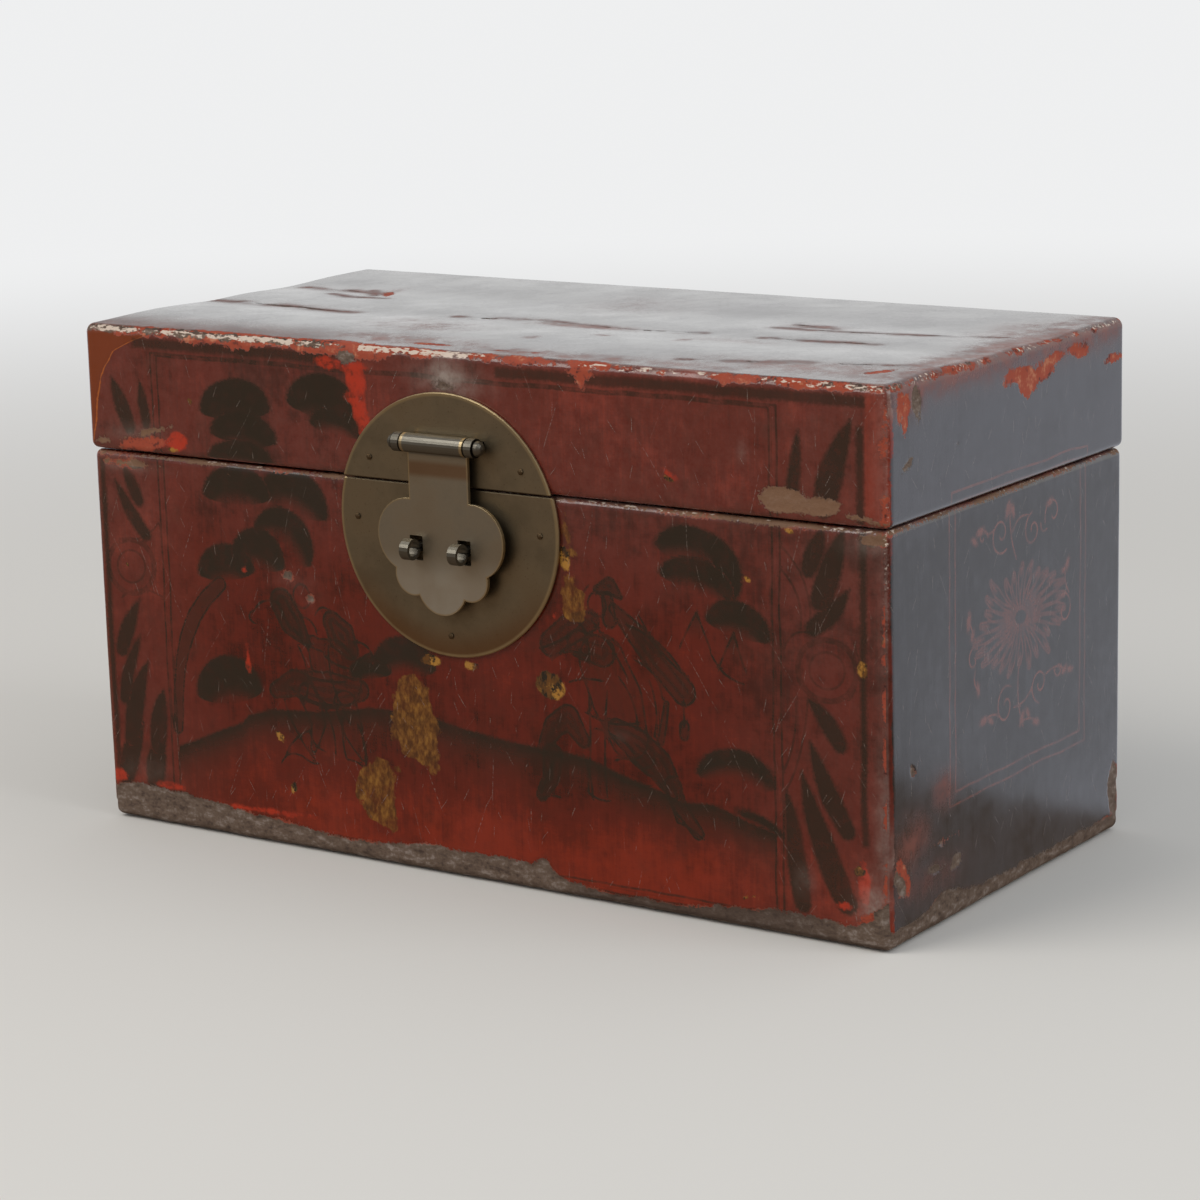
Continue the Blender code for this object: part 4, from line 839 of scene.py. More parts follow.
def lay_layers(skin, bare, chip, rub, earth, stain):
    """The layers that the lacquer's material reads, on all sides of a skin."""
    p = skin.points / MM
    black = 3.2 - (p[..., 1] - skin.low[1] / MM) + 1.2 * rough(p, 10, 33)
    ink = np.zeros(p.shape)
    trace = np.zeros(p.shape)
    gold, fleck, vivid, amber = (np.full(bare.shape, FAR) for _ in range(4))
    haze_and_highlight = np.zeros(bare.shape)
    ink[..., 0] = trace[..., 1] = FAR
    ink[..., 2] = tints(skin, stain)
    for index, is_front in ((0, True), (1, False), (3, False)):
        columns = skin.side(index)
        part = p[:, columns]
        across = part[..., 0] if is_front else part[..., 1] - (BASE_LOW.y + BASE_HIGH.y) / 2 / MM
        up = part[..., 2]
        wander = 0.8 * rough(part, 22, 41), 0.8 * rough(part, 22, 43)
        painting = (paint_front if is_front else paint_end)(across + wander[0], up + wander[1])
        flat = np.abs(skin.normals[:, columns, 1 if is_front else 0]) > 0.75
        ink[:, columns, 0] = np.where(flat, painting.fill, FAR)
        ink[:, columns, 1] = painting.density
        trace[:, columns, 0] = np.clip(painting.signed, -3, 3)
        trace[:, columns, 1] = np.where(flat, painting.near, FAR)
        trace[:, columns, 2] = painting.strength
        if is_front:
            patches = nearest(*(brush(across, up, *row) for row in GILT))
            patches = patches + 4.2 * rough(part, 11, 45) + 2.6 * rough(part, 4, 46)
            gold[:, columns] = np.where(flat, patches, FAR)
            flecks = spots(across, up, GILT_FLECKS) + 1.2 * rough(part, 4, 65)
            fleck[:, columns] = np.where(flat, flecks, FAR)
            strokes = spots(across, up, VIVID_SPOTS) + 1.4 * rough(part, 6, 47)
            vivid[:, columns] = np.where(flat, strokes, FAR)
            amber[:, columns] = across - np.interp(up, *zip(*AMBER_EDGE)) + 1.0 * rough(part, 9, 49)
            amber[:, columns] = np.where(up > LID_LOW.z / MM, amber[:, columns], FAR)
            border = (0.045 + 0.03 * smoothstep(up, 90, 150)) * smoothstep(np.abs(across + 5), 110, 175)
            veil = np.maximum(0.06 * smoothstep(up, 105, 175), border)
            lying = skin.normals[:, columns, 2] > 0.9
            ink[:, columns, 2] = np.where(lying, ink[:, columns, 2], veil)
            # The front-right upright corner is pale: partly rubbed, partly a painted highlight
            corner = 0.09 * smoothstep(across, 191, 198)
            grime_and_highlight = np.maximum(corner, clouds(across, up, HAZE_AND_HIGHLIGHT, part, 57))
            haze_and_highlight[:, columns] = np.where(lying, 0, grime_and_highlight)
    skin.layers = {
        "ink": ink,
        "trace": trace,
        "damage": np.stack([bare, chip, earth], -1),
        "ground": np.stack([ground_tone(skin), black, rub], -1),
        "spot": np.stack([vivid, amber, haze_and_highlight], -1),
        "gilding": np.stack([gold, fleck, stain], -1),
    }


def relief(skin, settings, bare, chip):
    """Height of the covering: slow waves, and steps down into chips and bare ground."""
    p = skin.points
    height = settings.wave * (rough(p, 70 * MM, 51) + 0.35 * rough(p, 16 * MM, 53))
    height -= 0.4 * settings.chip_depth * smoothstep(-chip, -0.8, 1.6)
    height -= settings.chip_depth * smoothstep(-bare, -0.4, 0.8) * (1 + 0.8 * rough(p, 4 * MM, 55))
    return height


def at_seam(skin, level):
    """Share of relief left near the seam, none on the two faces that meet there."""
    return smoothstep(np.abs(skin.points[..., 2] - level), 0.5 * MM, 5 * MM)


# Materials

SMOOTH = {"interpolation_type": "SMOOTHSTEP"}
BLEND = {"data_type": "RGBA", "output": 2}
TIMES = {"operation": "MULTIPLY"}
TIMES_PLUS = {"operation": "MULTIPLY_ADD"}
MOST = {"operation": "MAXIMUM"}
LEAST = {"operation": "MINIMUM"}
SIZE = {"operation": "ABSOLUTE"}


def node(tree, kind, inputs=None, output=0, **settings):
    """Add a node of a kind with its settings and its inputs linked or set, and give one of its outputs."""
    made = tree.nodes.new("ShaderNode" + kind)
    for name, value in settings.items():
        setattr(made, name, value)
    for name, value in (inputs or {}).items():
        if isinstance(value, bpy.types.NodeSocket):
            tree.links.new(value, made.inputs[name])
        else:
            made.inputs[name].default_value = (*value, 1.0) if isinstance(value, Color) else value
    return made.outputs[output] if made.outputs else None


def new_material(name):
    """A material with an empty tree, and a short way to add nodes to it."""
    material = bpy.data.materials.new(name)
    material.use_nodes = True
    material.node_tree.nodes.clear()
    return material, functools.partial(node, material.node_tree)


def grain(add, size, stretch=(1.0, 1.0, 1.0), detail=3.0):
    """Noise on Object coordinates, its features about size metres across and drawn out by stretch."""
    scale = tuple(1 / (size * s) for s in stretch)
    place = add("Mapping", {"Vector": add("TexCoord", output="Object"), "Scale": scale})
    return add("TexNoise", {"Vector": place, "Scale": 1.0, "Detail": detail, "Roughness": 0.6})


def scratches(add, wide, long, width, length, lean):
    """Upright hairlines, one in a cell of wide by long metres, each at its own lean; some are left out."""
    place = add("TexCoord", output="Object")
    cell = add("Mapping", {"Vector": place, "Scale": (1 / wide, 1 / wide, 1 / long)})
    middle = add("TexVoronoi", {"Vector": cell, "Scale": 1.0}, "Position")
    chance = add("TexVoronoi", {"Vector": cell, "Scale": 1.0}, "Color")
    away = add("VectorMath", {0: cell, 1: middle}, operation="SUBTRACT")
    x, y, up = (add("SeparateXYZ", {0: away}, axis) for axis in "XYZ")
    lean = add("MapRange", {0: add("SeparateColor", {0: chance}, "Red"), 3: -lean, 4: lean})
    some = add("MapRange", {0: add("SeparateColor", {0: chance}, "Green"), 1: 0.52, 2: 0.76})
    bent = add("Math", {0: add("Math", {0: up, 1: up}, **TIMES), 1: 1.2, 2: lean}, **TIMES_PLUS)
    across = add("Math", {0: up, 1: bent, 2: add("Math", {0: x, 1: y})}, **TIMES_PLUS)
    narrow = {0: add("Math", {0: across}, **SIZE), 1: 0.25 * width / wide, 2: width / wide, 3: 1.0, 4: 0.0}
    short = {0: add("Math", {0: up}, **SIZE), 1: 0.2 * length / long, 2: 0.5 * length / long, 3: 1.0, 4: 0.0}
    stroke = add("Math", {0: add("MapRange", narrow, **SMOOTH), 1: add("MapRange", short, **SMOOTH)}, **TIMES)
    return add("Math", {0: stroke, 1: some}, **TIMES)


def lacquer_material(colours):
    """Aged urushi lacquer, brushed over an orange-red first coat on gesso, painted, waxed and worn.

    The eye sees a deep, slightly streaky red or black-brown gloss, dark brushwork with soft worn edges,
    orange-red in shallow chips, dull grey-brown ground where the covering is gone, and fine pale scratches.
    """
    material, add = new_material("aged_urushi_lacquer")
    ink, trace, damage, ground, spot, gilding = (
        [
            add("SeparateXYZ", {0: add("Attribute", output="Vector", attribute_name=layer)}, axis)
            for axis in "XYZ"
        ]
        for layer in ("ink", "trace", "damage", "ground", "spot", "gilding")
    )
    speck = grain(add, 0.5 * MM, detail=1.0)
    fine = grain(add, 1.3 * MM)
    patch = grain(add, 6 * MM)
    broad = grain(add, 32 * MM)
    streak = grain(add, 1.6 * MM, (1.0, 1.0, 12.0))
    weave = grain(add, 0.7 * MM, (5.0, 5.0, 1.0))
    silt = grain(add, 2.6 * MM, (2.2, 2.2, 1.0), 5.0)
    daub = grain(add, 2.2 * MM, (1.0, 1.0, 1.8), 6.0)
    mottle = add("Math", {0: fine, 1: 0.5, 2: patch}, **TIMES_PLUS)

    def cover(distance, soft, tear):
        """Share of a shape: one inside, none outside, with its edge torn by the fine grain."""
        torn_edge = add("Math", {0: fine, 1: tear, 2: distance}, **TIMES_PLUS)
        inner, outer = 0.5 * tear - soft, 0.5 * tear + soft
        return add("MapRange", {0: torn_edge, 1: inner, 2: outer, 3: 1.0, 4: 0.0}, **SMOOTH)

    # Red lacquer with its glaze and brushwork
    tone = ground[0]
    for pattern, share in ((broad, 0.8), (streak, 0.4), (patch, 0.5), (weave, 0.2)):
        tone = add("Math", {0: pattern, 1: share, 2: tone}, **TIMES_PLUS)
    soot = add("MapRange", {0: grain(add, 20 * MM, detail=5.0), 1: 0.5, 2: 0.85, 4: 0.5}, **SMOOTH)
    glaze_edge = add("Math", {0: spot[1]}, **SIZE)
    glaze_edge = add("Math", {0: fine, 1: 1.2, 2: glaze_edge}, **TIMES_PLUS)
    fade = add("MapRange", {0: mottle, 1: 0.45, 2: 1.0, 3: 0.5, 4: 1.5})
    ragged = add("MapRange", {0: mottle, 1: 0.5, 2: 0.8, 3: 0.25, 4: 0.9}, **SMOOTH)
    red = colours.red_deep
    for above, share in (
        (colours.red, add("MapRange", {0: tone, 1: 1.145, 2: 1.445}, **SMOOTH)),
        (colours.red_bright, add("MapRange", {0: tone, 1: 1.445, 2: 1.895}, **SMOOTH)),
        (colours.ink, soot),
        (colours.gesso_pale, add("Math", {0: ink[2], 1: fade}, **TIMES)),
        (colours.amber, add("Math", {0: cover(spot[1], 2.0, 1.5), 1: 0.8}, **TIMES)),
        (colours.amber_bright, add("MapRange", {0: glaze_edge, 1: 0.75, 2: 1.15, 3: 0.7, 4: 0.0}, **SMOOTH)),
    ):
        red = add("Mix", {0: share, 6: red, 7: above}, **BLEND)
    kept = add("MapRange", {0: mottle, 1: 0.5, 2: 0.8, 3: 0.78, 4: 1.0}, **SMOOTH)
    filled = add("Math", {0: cover(ink[0], 1.1, 2.6), 1: ink[1]}, **TIMES)
    filled = add("Math", {0: filled, 1: kept}, **TIMES)
    narrow = add("Math", {0: trace[0]}, **SIZE)
    narrow = add("MapRange", {0: narrow, 1: 0.2, 2: 0.8, 3: 1.0, 4: 0.0}, **SMOOTH)
    close = add("MapRange", {0: trace[1], 1: 0.9, 2: 1.4, 3: 1.0, 4: 0.0}, **SMOOTH)
    drawn = add("Math", {0: add("Math", {0: narrow, 1: close}, **TIMES), 1: trace[2]}, **TIMES)
    broken = add("MapRange", {0: mottle, 1: 0.62, 2: 0.9, 3: 1.0, 4: 0.5}, **SMOOTH)
    drawn = add("Math", {0: drawn, 1: broken}, **TIMES)
    fresh = add("Math", {0: cover(spot[0], 0.8, 2.4), 1: ragged}, **TIMES)
    painted = red
    for above, share in (
        (colours.ink, filled),
        (colours.ink, drawn),
        (colours.red_vivid, fresh),
    ):
        painted = add("Mix", {0: share, 6: painted, 7: above}, **BLEND)

    # Black lacquer of the ends, back and top, with thin red-brown drawing and red showing through
    marks = add("Math", {0: add("Math", {0: filled, 1: drawn}, **MOST), 1: 0.68}, **TIMES)
    worn_thin = add("MapRange", {0: mottle, 1: 0.5, 2: 0.95, 3: 0.4, 4: 1.2})
    worn_thin = add("Math", {0: ink[2], 1: worn_thin}, **TIMES)
    dark = colours.black
    for above, share in (
        # Grey bloom, partly real and partly a painted reflection
        (colours.bloom_and_reflection, add("MapRange", {0: tone, 1: 1.175, 2: 1.875}, **SMOOTH)),
        (colours.madder_dark, worn_thin),
        (colours.madder, marks),
    ):
        dark = add("Mix", {0: share, 6: dark, 7: above}, **BLEND)

    # Gold, grime and a painted highlight down the front-right corner, hairlines and rubbed edges; real
    # hairlines are finer, but would not show in the render
    short = add("MapRange", {0: speck, 1: 0.38, 2: 0.66, 4: 0.52}, **SMOOTH)
    short = add("Math", {0: scratches(add, 6 * MM, 10 * MM, 0.3 * MM, 7 * MM, 1.5), 1: short}, **TIMES)
    long = add("MapRange", {0: fine, 1: 0.42, 2: 0.64, 4: 0.34}, **SMOOTH)
    long = add("Math", {0: scratches(add, 19 * MM, 36 * MM, 0.34 * MM, 26 * MM, 1.4), 1: long}, **TIMES)
    hair = add("Math", {0: short, 1: long}, **MOST)
    size_kept = add("MapRange", {0: patch, 1: 0.3, 2: 0.55, 3: 0.6, 4: 0.95}, **SMOOTH)
    gilt = colours.gold_dark
    for above, share in (
        (colours.gold, add("MapRange", {0: daub, 1: 0.34, 2: 0.56}, **SMOOTH)),
        (colours.gold_bright, add("MapRange", {0: daub, 1: 0.5, 2: 0.7, 4: 0.5}, **SMOOTH)),
    ):
        gilt = add("Mix", {0: share, 6: gilt, 7: above}, **BLEND)
    flecks = colours.ink
    for above, share in (
        (colours.gold, add("MapRange", {0: daub, 1: 0.4, 2: 0.6, 4: 0.8}, **SMOOTH)),
        (colours.gold_bright, add("MapRange", {0: mottle, 1: 0.72, 2: 0.86}, **SMOOTH)),
    ):
        flecks = add("Mix", {0: share, 6: flecks, 7: above}, **BLEND)
    # Pale grime, and a painted highlight down the front-right corner
    grime_and_highlight = add("MapRange", {0: mottle, 1: 0.45, 2: 1.0, 3: 0.5, 4: 1.6})
    grime_and_highlight = add("Math", {0: spot[2], 1: grime_and_highlight}, **TIMES)
    rubbed = add("MapRange", {0: mottle, 1: 0.66, 2: 0.86, 4: 0.8}, **SMOOTH)
    colour = painted
    for above, share in (
        (dark, cover(ground[1], 0.6, 3.0)),
        (gilt, add("Math", {0: cover(gilding[0], 0.7, 3.0), 1: size_kept}, **TIMES)),
        (flecks, cover(gilding[1], 0.4, 2.5)),
        (colours.gesso_pale, grime_and_highlight),
        (colours.gesso_pale, hair),
        # Rubbed edges, pale; along the lid's front edge partly painted glints of light
        (colours.gesso_pale, add("Math", {0: ground[2], 1: rubbed}, **TIMES)),
    ):
        colour = add("Mix", {0: share, 6: colour, 7: above}, **BLEND)

    # Chips down to the first coat, then bare ground, each with a dark broken rim of painted shade
    chipped = cover(damage[1], 0.5, 4.5)
    bared = cover(damage[0], 0.4, 4.0)
    rim = cover(add("Math", {0: damage[0], 1: damage[1]}, **LEAST), 1.0, 4.5)
    silted = add("Math", {0: fine, 1: 0.5, 2: silt}, **TIMES_PLUS)
    # Chalk flecks on rubbed edges, partly painted glints of light along the lid's front edge
    crumbs = add("Math", {0: ground[2], 1: 0.25, 2: grain(add, 1.2 * MM, (2.6, 1.0, 1.0))}, **TIMES_PLUS)
    crumbs = add("MapRange", {0: crumbs, 1: 0.64, 2: 0.72}, **SMOOTH)
    flakes_and_glints = add("Math", {0: crumbs, 1: add("MapRange", {0: ground[2], 1: 0.05, 2: 0.3}, **SMOOTH)}, **TIMES)
    first_coat = colours.red_deep
    for above, share in (
        (colours.undercoat, add("MapRange", {0: mottle, 1: 0.5, 2: 0.7}, **SMOOTH)),
        (colours.undercoat_pale, add("MapRange", {0: mottle, 1: 0.8, 2: 1.0, 4: 0.8}, **SMOOTH)),
    ):
        first_coat = add("Mix", {0: share, 6: first_coat, 7: above}, **BLEND)
    earth = colours.gesso_dark
    for above, share in (
        (colours.gesso, add("MapRange", {0: silted, 1: 0.5, 2: 0.75}, **SMOOTH)),
        (colours.gesso_pale, add("MapRange", {0: silted, 1: 0.74, 2: 1.0, 4: 0.75}, **SMOOTH)),
        (colours.bare_wood, add("MapRange", {0: damage[2], 1: 0.8, 2: 1.0, 4: 0.8}, **SMOOTH)),
        (colours.gesso_dark, add("MapRange", {0: damage[2], 1: 0.0, 2: 0.45, 3: 0.8, 4: 0.0}, **SMOOTH)),
    ):
        earth = add("Mix", {0: share, 6: earth, 7: above}, **BLEND)
    colour = colour
    for above, share in (
        # Painted shade along the rims of chips and bare ground
        (colours.ink, add("Math", {0: rim, 1: 0.45}, **TIMES)),
        (first_coat, chipped),
        (earth, bared),
        (colours.chalk_and_glints, flakes_and_glints),
    ):
        colour = add("Mix", {0: share, 6: colour, 7: above}, **BLEND)

    # Waxed gloss, dull where the lacquer is gone, and a fine relief
    gone = add("Math", {0: chipped, 1: bared}, **MOST)
    gloss = add("Math", {0: fine, 1: 0.5, 2: broad}, **TIMES_PLUS)
    gloss = add("MapRange", {0: gloss, 1: 0.55, 2: 0.95, 3: 0.14, 4: 0.26}, **SMOOTH)
    gloss = add("Math", {0: gilding[2], 1: 0.2, 2: gloss}, **TIMES_PLUS)
    gloss = add("Math", {0: worn_thin, 1: 0.14, 2: gloss}, **TIMES_PLUS)
    gloss = add("Math", {0: ground[2], 1: 0.3, 2: gloss}, **TIMES_PLUS)
    roughness = add("Math", {0: gone, 1: 0.5, 2: gloss}, **TIMES_PLUS)
    dull = add("Math", {0: gilding[2], 1: worn_thin}, **MOST)
    for more in (gone, ground[2]):
        dull = add("Math", {0: dull, 1: more}, **MOST)
    wax = add("MapRange", {0: dull, 2: 0.7, 3: 0.5, 4: 0.0}, **SMOOTH)
    height = add("Math", {0: streak, 1: 0.2, 2: add("Math", {0: speck, 1: 0.08}, **TIMES)}, **TIMES_PLUS)
    height = add("Math", {0: hair, 1: -0.8, 2: height}, **TIMES_PLUS)
    height = add("Math", {0: chipped, 1: -0.5, 2: height}, **TIMES_PLUS)
    height = add("Math", {0: add("Math", {0: bared, 1: fine}, **TIMES), 1: 1.8, 2: height}, **TIMES_PLUS)
    normal = add("Bump", {"Height": height, "Strength": 0.6, "Distance": 0.3 * MM})
    surface = {"Base Color": colour, "Roughness": roughness, "Normal": normal, "Coat Weight": wax}
    shader = add("BsdfPrincipled", {**surface, "IOR": 1.53, "Coat IOR": 1.45, "Coat Roughness": 0.16})
    add("OutputMaterial", {"Surface": shader})
    return material


HASP_LOBES = (  # across from the middle, below the pivot, radius
    (-16.0, 39.0, 15.7), (16.0, 39.0, 15.7), (-14.3, 55.0, 9.0), (14.3, 55.0, 9.0), (0.0, 58.5, 12.5),
)
NECK_HALF, NECK_LOW = 15.0, 56.0  # half width of the hasp's neck, and its end below the pivot
GROOVES = (16.1, 20.5)  # joints of the barrel, from its middle


def brass_material(colours, name, kind):
    """Cast and filed brass, dulled by handling: olive-brown with faint clouds, pale along the rims.

    The lock plate's rim is a circle and the hasp's the outline of its lobes and neck; the pale along them
    is partly rubbed brass and partly a painted highlight. The hasp is paler than the plate, and a painted
    reflection makes it paler still at its tip; a painted shade of the neck's bend makes it browner under
    the barrel. The barrel is dark in its joints.
    """
    material, add = new_material(name)
    clouds_over = grain(add, 22 * MM)
    fine = grain(add, 0.8 * MM)
    filed = grain(add, 0.5 * MM, (20.0, 1.0, 1.0))
    shares = [
        (colours.brass, add("MapRange", {0: clouds_over, 1: 0.3, 2: 0.6}, **SMOOTH)),
        (colours.tarnish, add("MapRange", {0: fine, 1: 0.6, 2: 0.75, 4: 0.5}, **SMOOTH)),
    ]
    middle = PLATE_CENTRE if kind == "plate" else PIVOT
    place = add("VectorMath", {0: add("TexCoord", output="Object"), 1: middle}, operation="SUBTRACT")
    place = add("VectorMath", {0: place, 1: (1 / MM, 0.0, 1 / MM)}, **TIMES)
    across = add("Math", {0: add("SeparateXYZ", {0: place}, "X")}, **SIZE)
    up = add("SeparateXYZ", {0: place}, "Z")
    uneven = add("MapRange", {0: clouds_over, 1: 0.25, 2: 0.55, 3: 0.3, 4: 0.85})
    if kind == "plate":
        reach = add("VectorMath", {0: place}, "Value", operation="LENGTH")
        radius = PLATE_RADIUS / MM
        low = add("MapRange", {0: up, 1: -0.25 * radius, 2: -0.85 * radius, 3: 0.0, 4: 0.6}, **SMOOTH)
        outer = add("MapRange", {0: reach, 1: 0.72 * radius, 2: 0.98 * radius}, **SMOOTH)
        # Pale ring at the plate's rim: partly rubbed brass, partly a painted highlight
        ring = add("MapRange", {0: reach, 1: radius - 1.9, 2: radius - 0.8}, **SMOOTH)
        shares.append((colours.warm_tarnish_and_shade, add("Math", {0: low, 1: outer}, **TIMES)))
        shares.append((colours.worn, add("Math", {0: ring, 1: uneven}, **TIMES)))
    if kind == "hasp":
        outline = add("Math", {0: across, 1: NECK_HALF}, operation="SUBTRACT")
        above = add("Math", {0: -NECK_LOW, 1: up}, operation="SUBTRACT")
        outline = add("Math", {0: outline, 1: above}, **MOST)
        for lobe_across, lobe_down, lobe_radius in HASP_LOBES:
            lobe = {0: place, 1: (lobe_across, 0.0, -lobe_down)}
            lobe = add("VectorMath", lobe, "Value", operation="DISTANCE")
            lobe = add("Math", {0: lobe, 1: lobe_radius}, operation="SUBTRACT")
            outline = add("Math", {0: outline, 1: lobe}, **LEAST)
        # Brown band under the barrel: painted shade of the neck's bend
        brown = {0: add("Math", {0: add("Math", {0: up, 1: 10.5})}, **SIZE), 1: 1.5, 2: 4.5, 3: 0.6, 4: 0.0}
        # The hasp is paler than the plate; paler still toward the tip, a painted reflection
        shares.append((colours.pale, add("MapRange", {0: up, 1: -44.0, 2: -59.0, 3: 0.25, 4: 0.8}, **SMOOTH)))
        shares.append((colours.warm_tarnish_and_shade, add("MapRange", brown, **SMOOTH)))
        knuckle = {0: add("Math", {0: up}, **SIZE), 1: 4.2, 2: 5.2, 3: 0.75, 4: 0.0}
        shares.append((colours.grey, add("MapRange", knuckle, **SMOOTH)))
        # Pale line round the hasp's outline: partly rubbed brass, partly a painted highlight
        rim = add("MapRange", {0: outline, 1: -0.9, 2: -0.35}, **SMOOTH)
        shares.append((colours.worn, add("Math", {0: rim, 1: uneven}, **TIMES)))
    if kind == "turned":
        shares.append((colours.grey, 0.75))
    if kind == "nail":
        shares.append((colours.tarnish, 0.7))
    if kind in ("hasp", "turned"):
        for groove in GROOVES:
            gap = add("Math", {0: add("Math", {0: across, 1: groove}, operation="SUBTRACT")}, **SIZE)
            deep = add("MapRange", {0: gap, 1: 0.25, 2: 0.6, 3: 0.9, 4: 0.0}, **SMOOTH)
            on_barrel = add("MapRange", {0: add("Math", {0: up}, **SIZE), 1: 4.5, 2: 5.0, 3: 1.0, 4: 0.0})
            shares.append((colours.soot, add("Math", {0: deep, 1: on_barrel}, **TIMES)))
    colour = colours.brass_dark
    for above, share in shares:
        colour = add("Mix", {0: share, 6: colour, 7: above}, **BLEND)
    roughness = add("MapRange", {0: clouds_over, 1: 0.3, 2: 0.7, 3: 0.5, 4: 0.36}, **SMOOTH)
    height = add("Math", {0: filed, 1: 0.5, 2: fine}, **TIMES_PLUS)
    normal = add("Bump", {"Height": height, "Strength": 0.2, "Distance": 0.1 * MM})
    surface = {"Base Color": colour, "Roughness": roughness, "Normal": normal, "Metallic": 1.0}
    add("OutputMaterial", {"Surface": add("BsdfPrincipled", surface)})
    return material


def softwood_material(colours, name, stretch):
    """Planed softwood, unfinished and browned with age: bands of early and late wood along the board."""
    material, add = new_material(name)
    bands = grain(add, 3.5 * MM, stretch)
    fibre = grain(add, 0.6 * MM, stretch)
    banded = add("MapRange", {0: bands, 1: 0.4, 2: 0.62}, **SMOOTH)
    colour = add("Mix", {0: banded, 6: colours.early, 7: colours.late}, **BLEND)
    fibrous = add("MapRange", {0: fibre, 1: 0.5, 2: 0.75, 4: 0.45}, **SMOOTH)
    colour = add("Mix", {0: fibrous, 6: colour, 7: colours.pores}, **BLEND)
    roughness = add("MapRange", {0: fibre, 1: 0.3, 2: 0.7, 3: 0.6, 4: 0.8}, **SMOOTH)
    normal = add("Bump", {"Height": fibre, "Strength": 0.4, "Distance": 0.2 * MM})
    surface = {"Base Color": colour, "Roughness": roughness, "Normal": normal}
    add("OutputMaterial", {"Surface": add("BsdfPrincipled", surface)})
    return material


def give(material, *names):
    """A material for CAD nodes that stay."""
    for name in names:
        for slot in NODES[name].material_slots:
            slot.material = material


# Operators

SIDES = ("front", "right", "back", "left")


class TRUNK_OT_base_lacquer(bpy.types.Operator):
    """Lay the lacquer over the base, from the rim of the mouth to the turn under the foot"""

    bl_idname = "trunk.base_lacquer"
    bl_label = "Base lacquer"

    def execute(self, context):
        s = context.scene.trunk_lacquer
        low, high = BASE_LOW.z, BASE_HIGH.z
        profile = np.concatenate([
            straight((s.rim, high - s.thickness), (s.rim, high), 1 * MM),
            straight((s.rim, high), (s.mouth, high), 1.4 * MM),
            rounded_edge(s.mouth, high, 5, True),
            straight((0, high - s.mouth), (0, low + s.foot), s.fine_step),
            rounded_edge(s.foot, low, 8, False),
            straight((s.foot, low), (s.turn_under, low), 1.2 * MM),
            np.array(((s.turn_under, low), (s.turn_under, low + s.thickness))),
        ])
        steps = (s.fine_step, s.fine_step, s.coarse_step, s.fine_step)
        skin = Skin(BASE_LOW, BASE_HIGH, s.corner, profile, steps)
        bare, chip, rub, earth = wear_of_base(skin)
        lay_layers(skin, bare, chip, rub, earth, np.zeros(bare.shape))
        skin.displace(relief(skin, s, bare, chip) * at_seam(skin, high))
        for index, side in enumerate(SIDES):
            piece = skin.piece(f"base_{side}_lacquer", skin.side(index), lacquer_of(s))
            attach(piece, "base")
            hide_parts("base_cover")
        return {"FINISHED"}


def lacquer_of(settings):
    found = bpy.data.materials.get("aged_urushi_lacquer")
    return found or lacquer_material(settings)


class TRUNK_OT_lid_lacquer(bpy.types.Operator):
    """Lay the lacquer over the lid, from the middle of the top to the rim of the mouth"""

    bl_idname = "trunk.lid_lacquer"
    bl_label = "Lid lacquer"

    def execute(self, context):
        s = context.scene.trunk_lacquer
        low, high = LID_LOW.z, LID_HIGH.z
        half_depth = (LID_HIGH.y - LID_LOW.y) / 2
        profile = np.concatenate([
            straight((half_depth, high), (s.crown, high), 1.0 * MM),
            rounded_edge(s.crown, high, 8, True),
            straight((0, high - s.crown), (0, low + s.mouth), s.fine_step),
            rounded_edge(s.mouth, low, 5, False),
            straight((s.mouth, low), (s.rim, low), 1.4 * MM),
            np.array(((s.rim, low), (s.rim, low + s.thickness))),
        ])
        skin = Skin(LID_LOW, LID_HIGH, s.corner, profile, (s.fine_step,) * 4)
        bare, chip, rub, earth, crack, stain = wear_of_lid(skin)
        lay_layers(skin, bare, chip, rub, earth, stain)
        height = relief(skin, s, bare, chip) + cupping(skin)
        height -= s.crack_depth * smoothstep(-crack, -1.2, 0.5)
        skin.displace(height * at_seam(skin, low))
        for index, side in enumerate(SIDES):
            piece = skin.piece(f"lid_{side}_lacquer", skin.side(index), lacquer_of(s))
            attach(piece, "lid")
            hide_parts("lid_cover")
        return {"FINISHED"}


CUPS = ((42, 26, 0.9), (83, 14, -0.45), (138, 22, -0.9))  # place from the front, reach, height in millimetres


def cupping(skin):
    """The three top planks have moved: the front one crowns, the joint behind the middle one dips."""
    y = (skin.points[..., 1] - LID_LOW.y) / MM
    rise = sum(height * np.exp(-(((y - middle) / reach) ** 2)) for middle, reach, height in CUPS)
    return np.where(skin.normals[..., 2] > 0.7, rise * MM, 0.0)


class TRUNK_OT_brass(bpy.types.Operator):
    """Finish the lock plate, the hasp and its pivot, the eyes, the hinges and the nails as aged brass"""

    bl_idname = "trunk.brass"
    bl_label = "Brass fittings"

    def execute(self, context):
        s = context.scene.trunk_metal
        plates = [n for n in NODES if n.endswith(("_leaf", "lock_plate"))]
        rounds = [n for n in NODES if n.endswith("_pin") or "strap" in n or "eye" in n]
        give(brass_material(s, "aged_brass_plate", "plate"), *plates)
        give(brass_material(s, "aged_brass_hasp", "hasp"), "hasp")
        give(brass_material(s, "aged_brass_turned", "turned"), *rounds)
        give(brass_material(s, "aged_brass_nail", "nail"), *(n for n in NODES if "nail" in n))
        return {"FINISHED"}


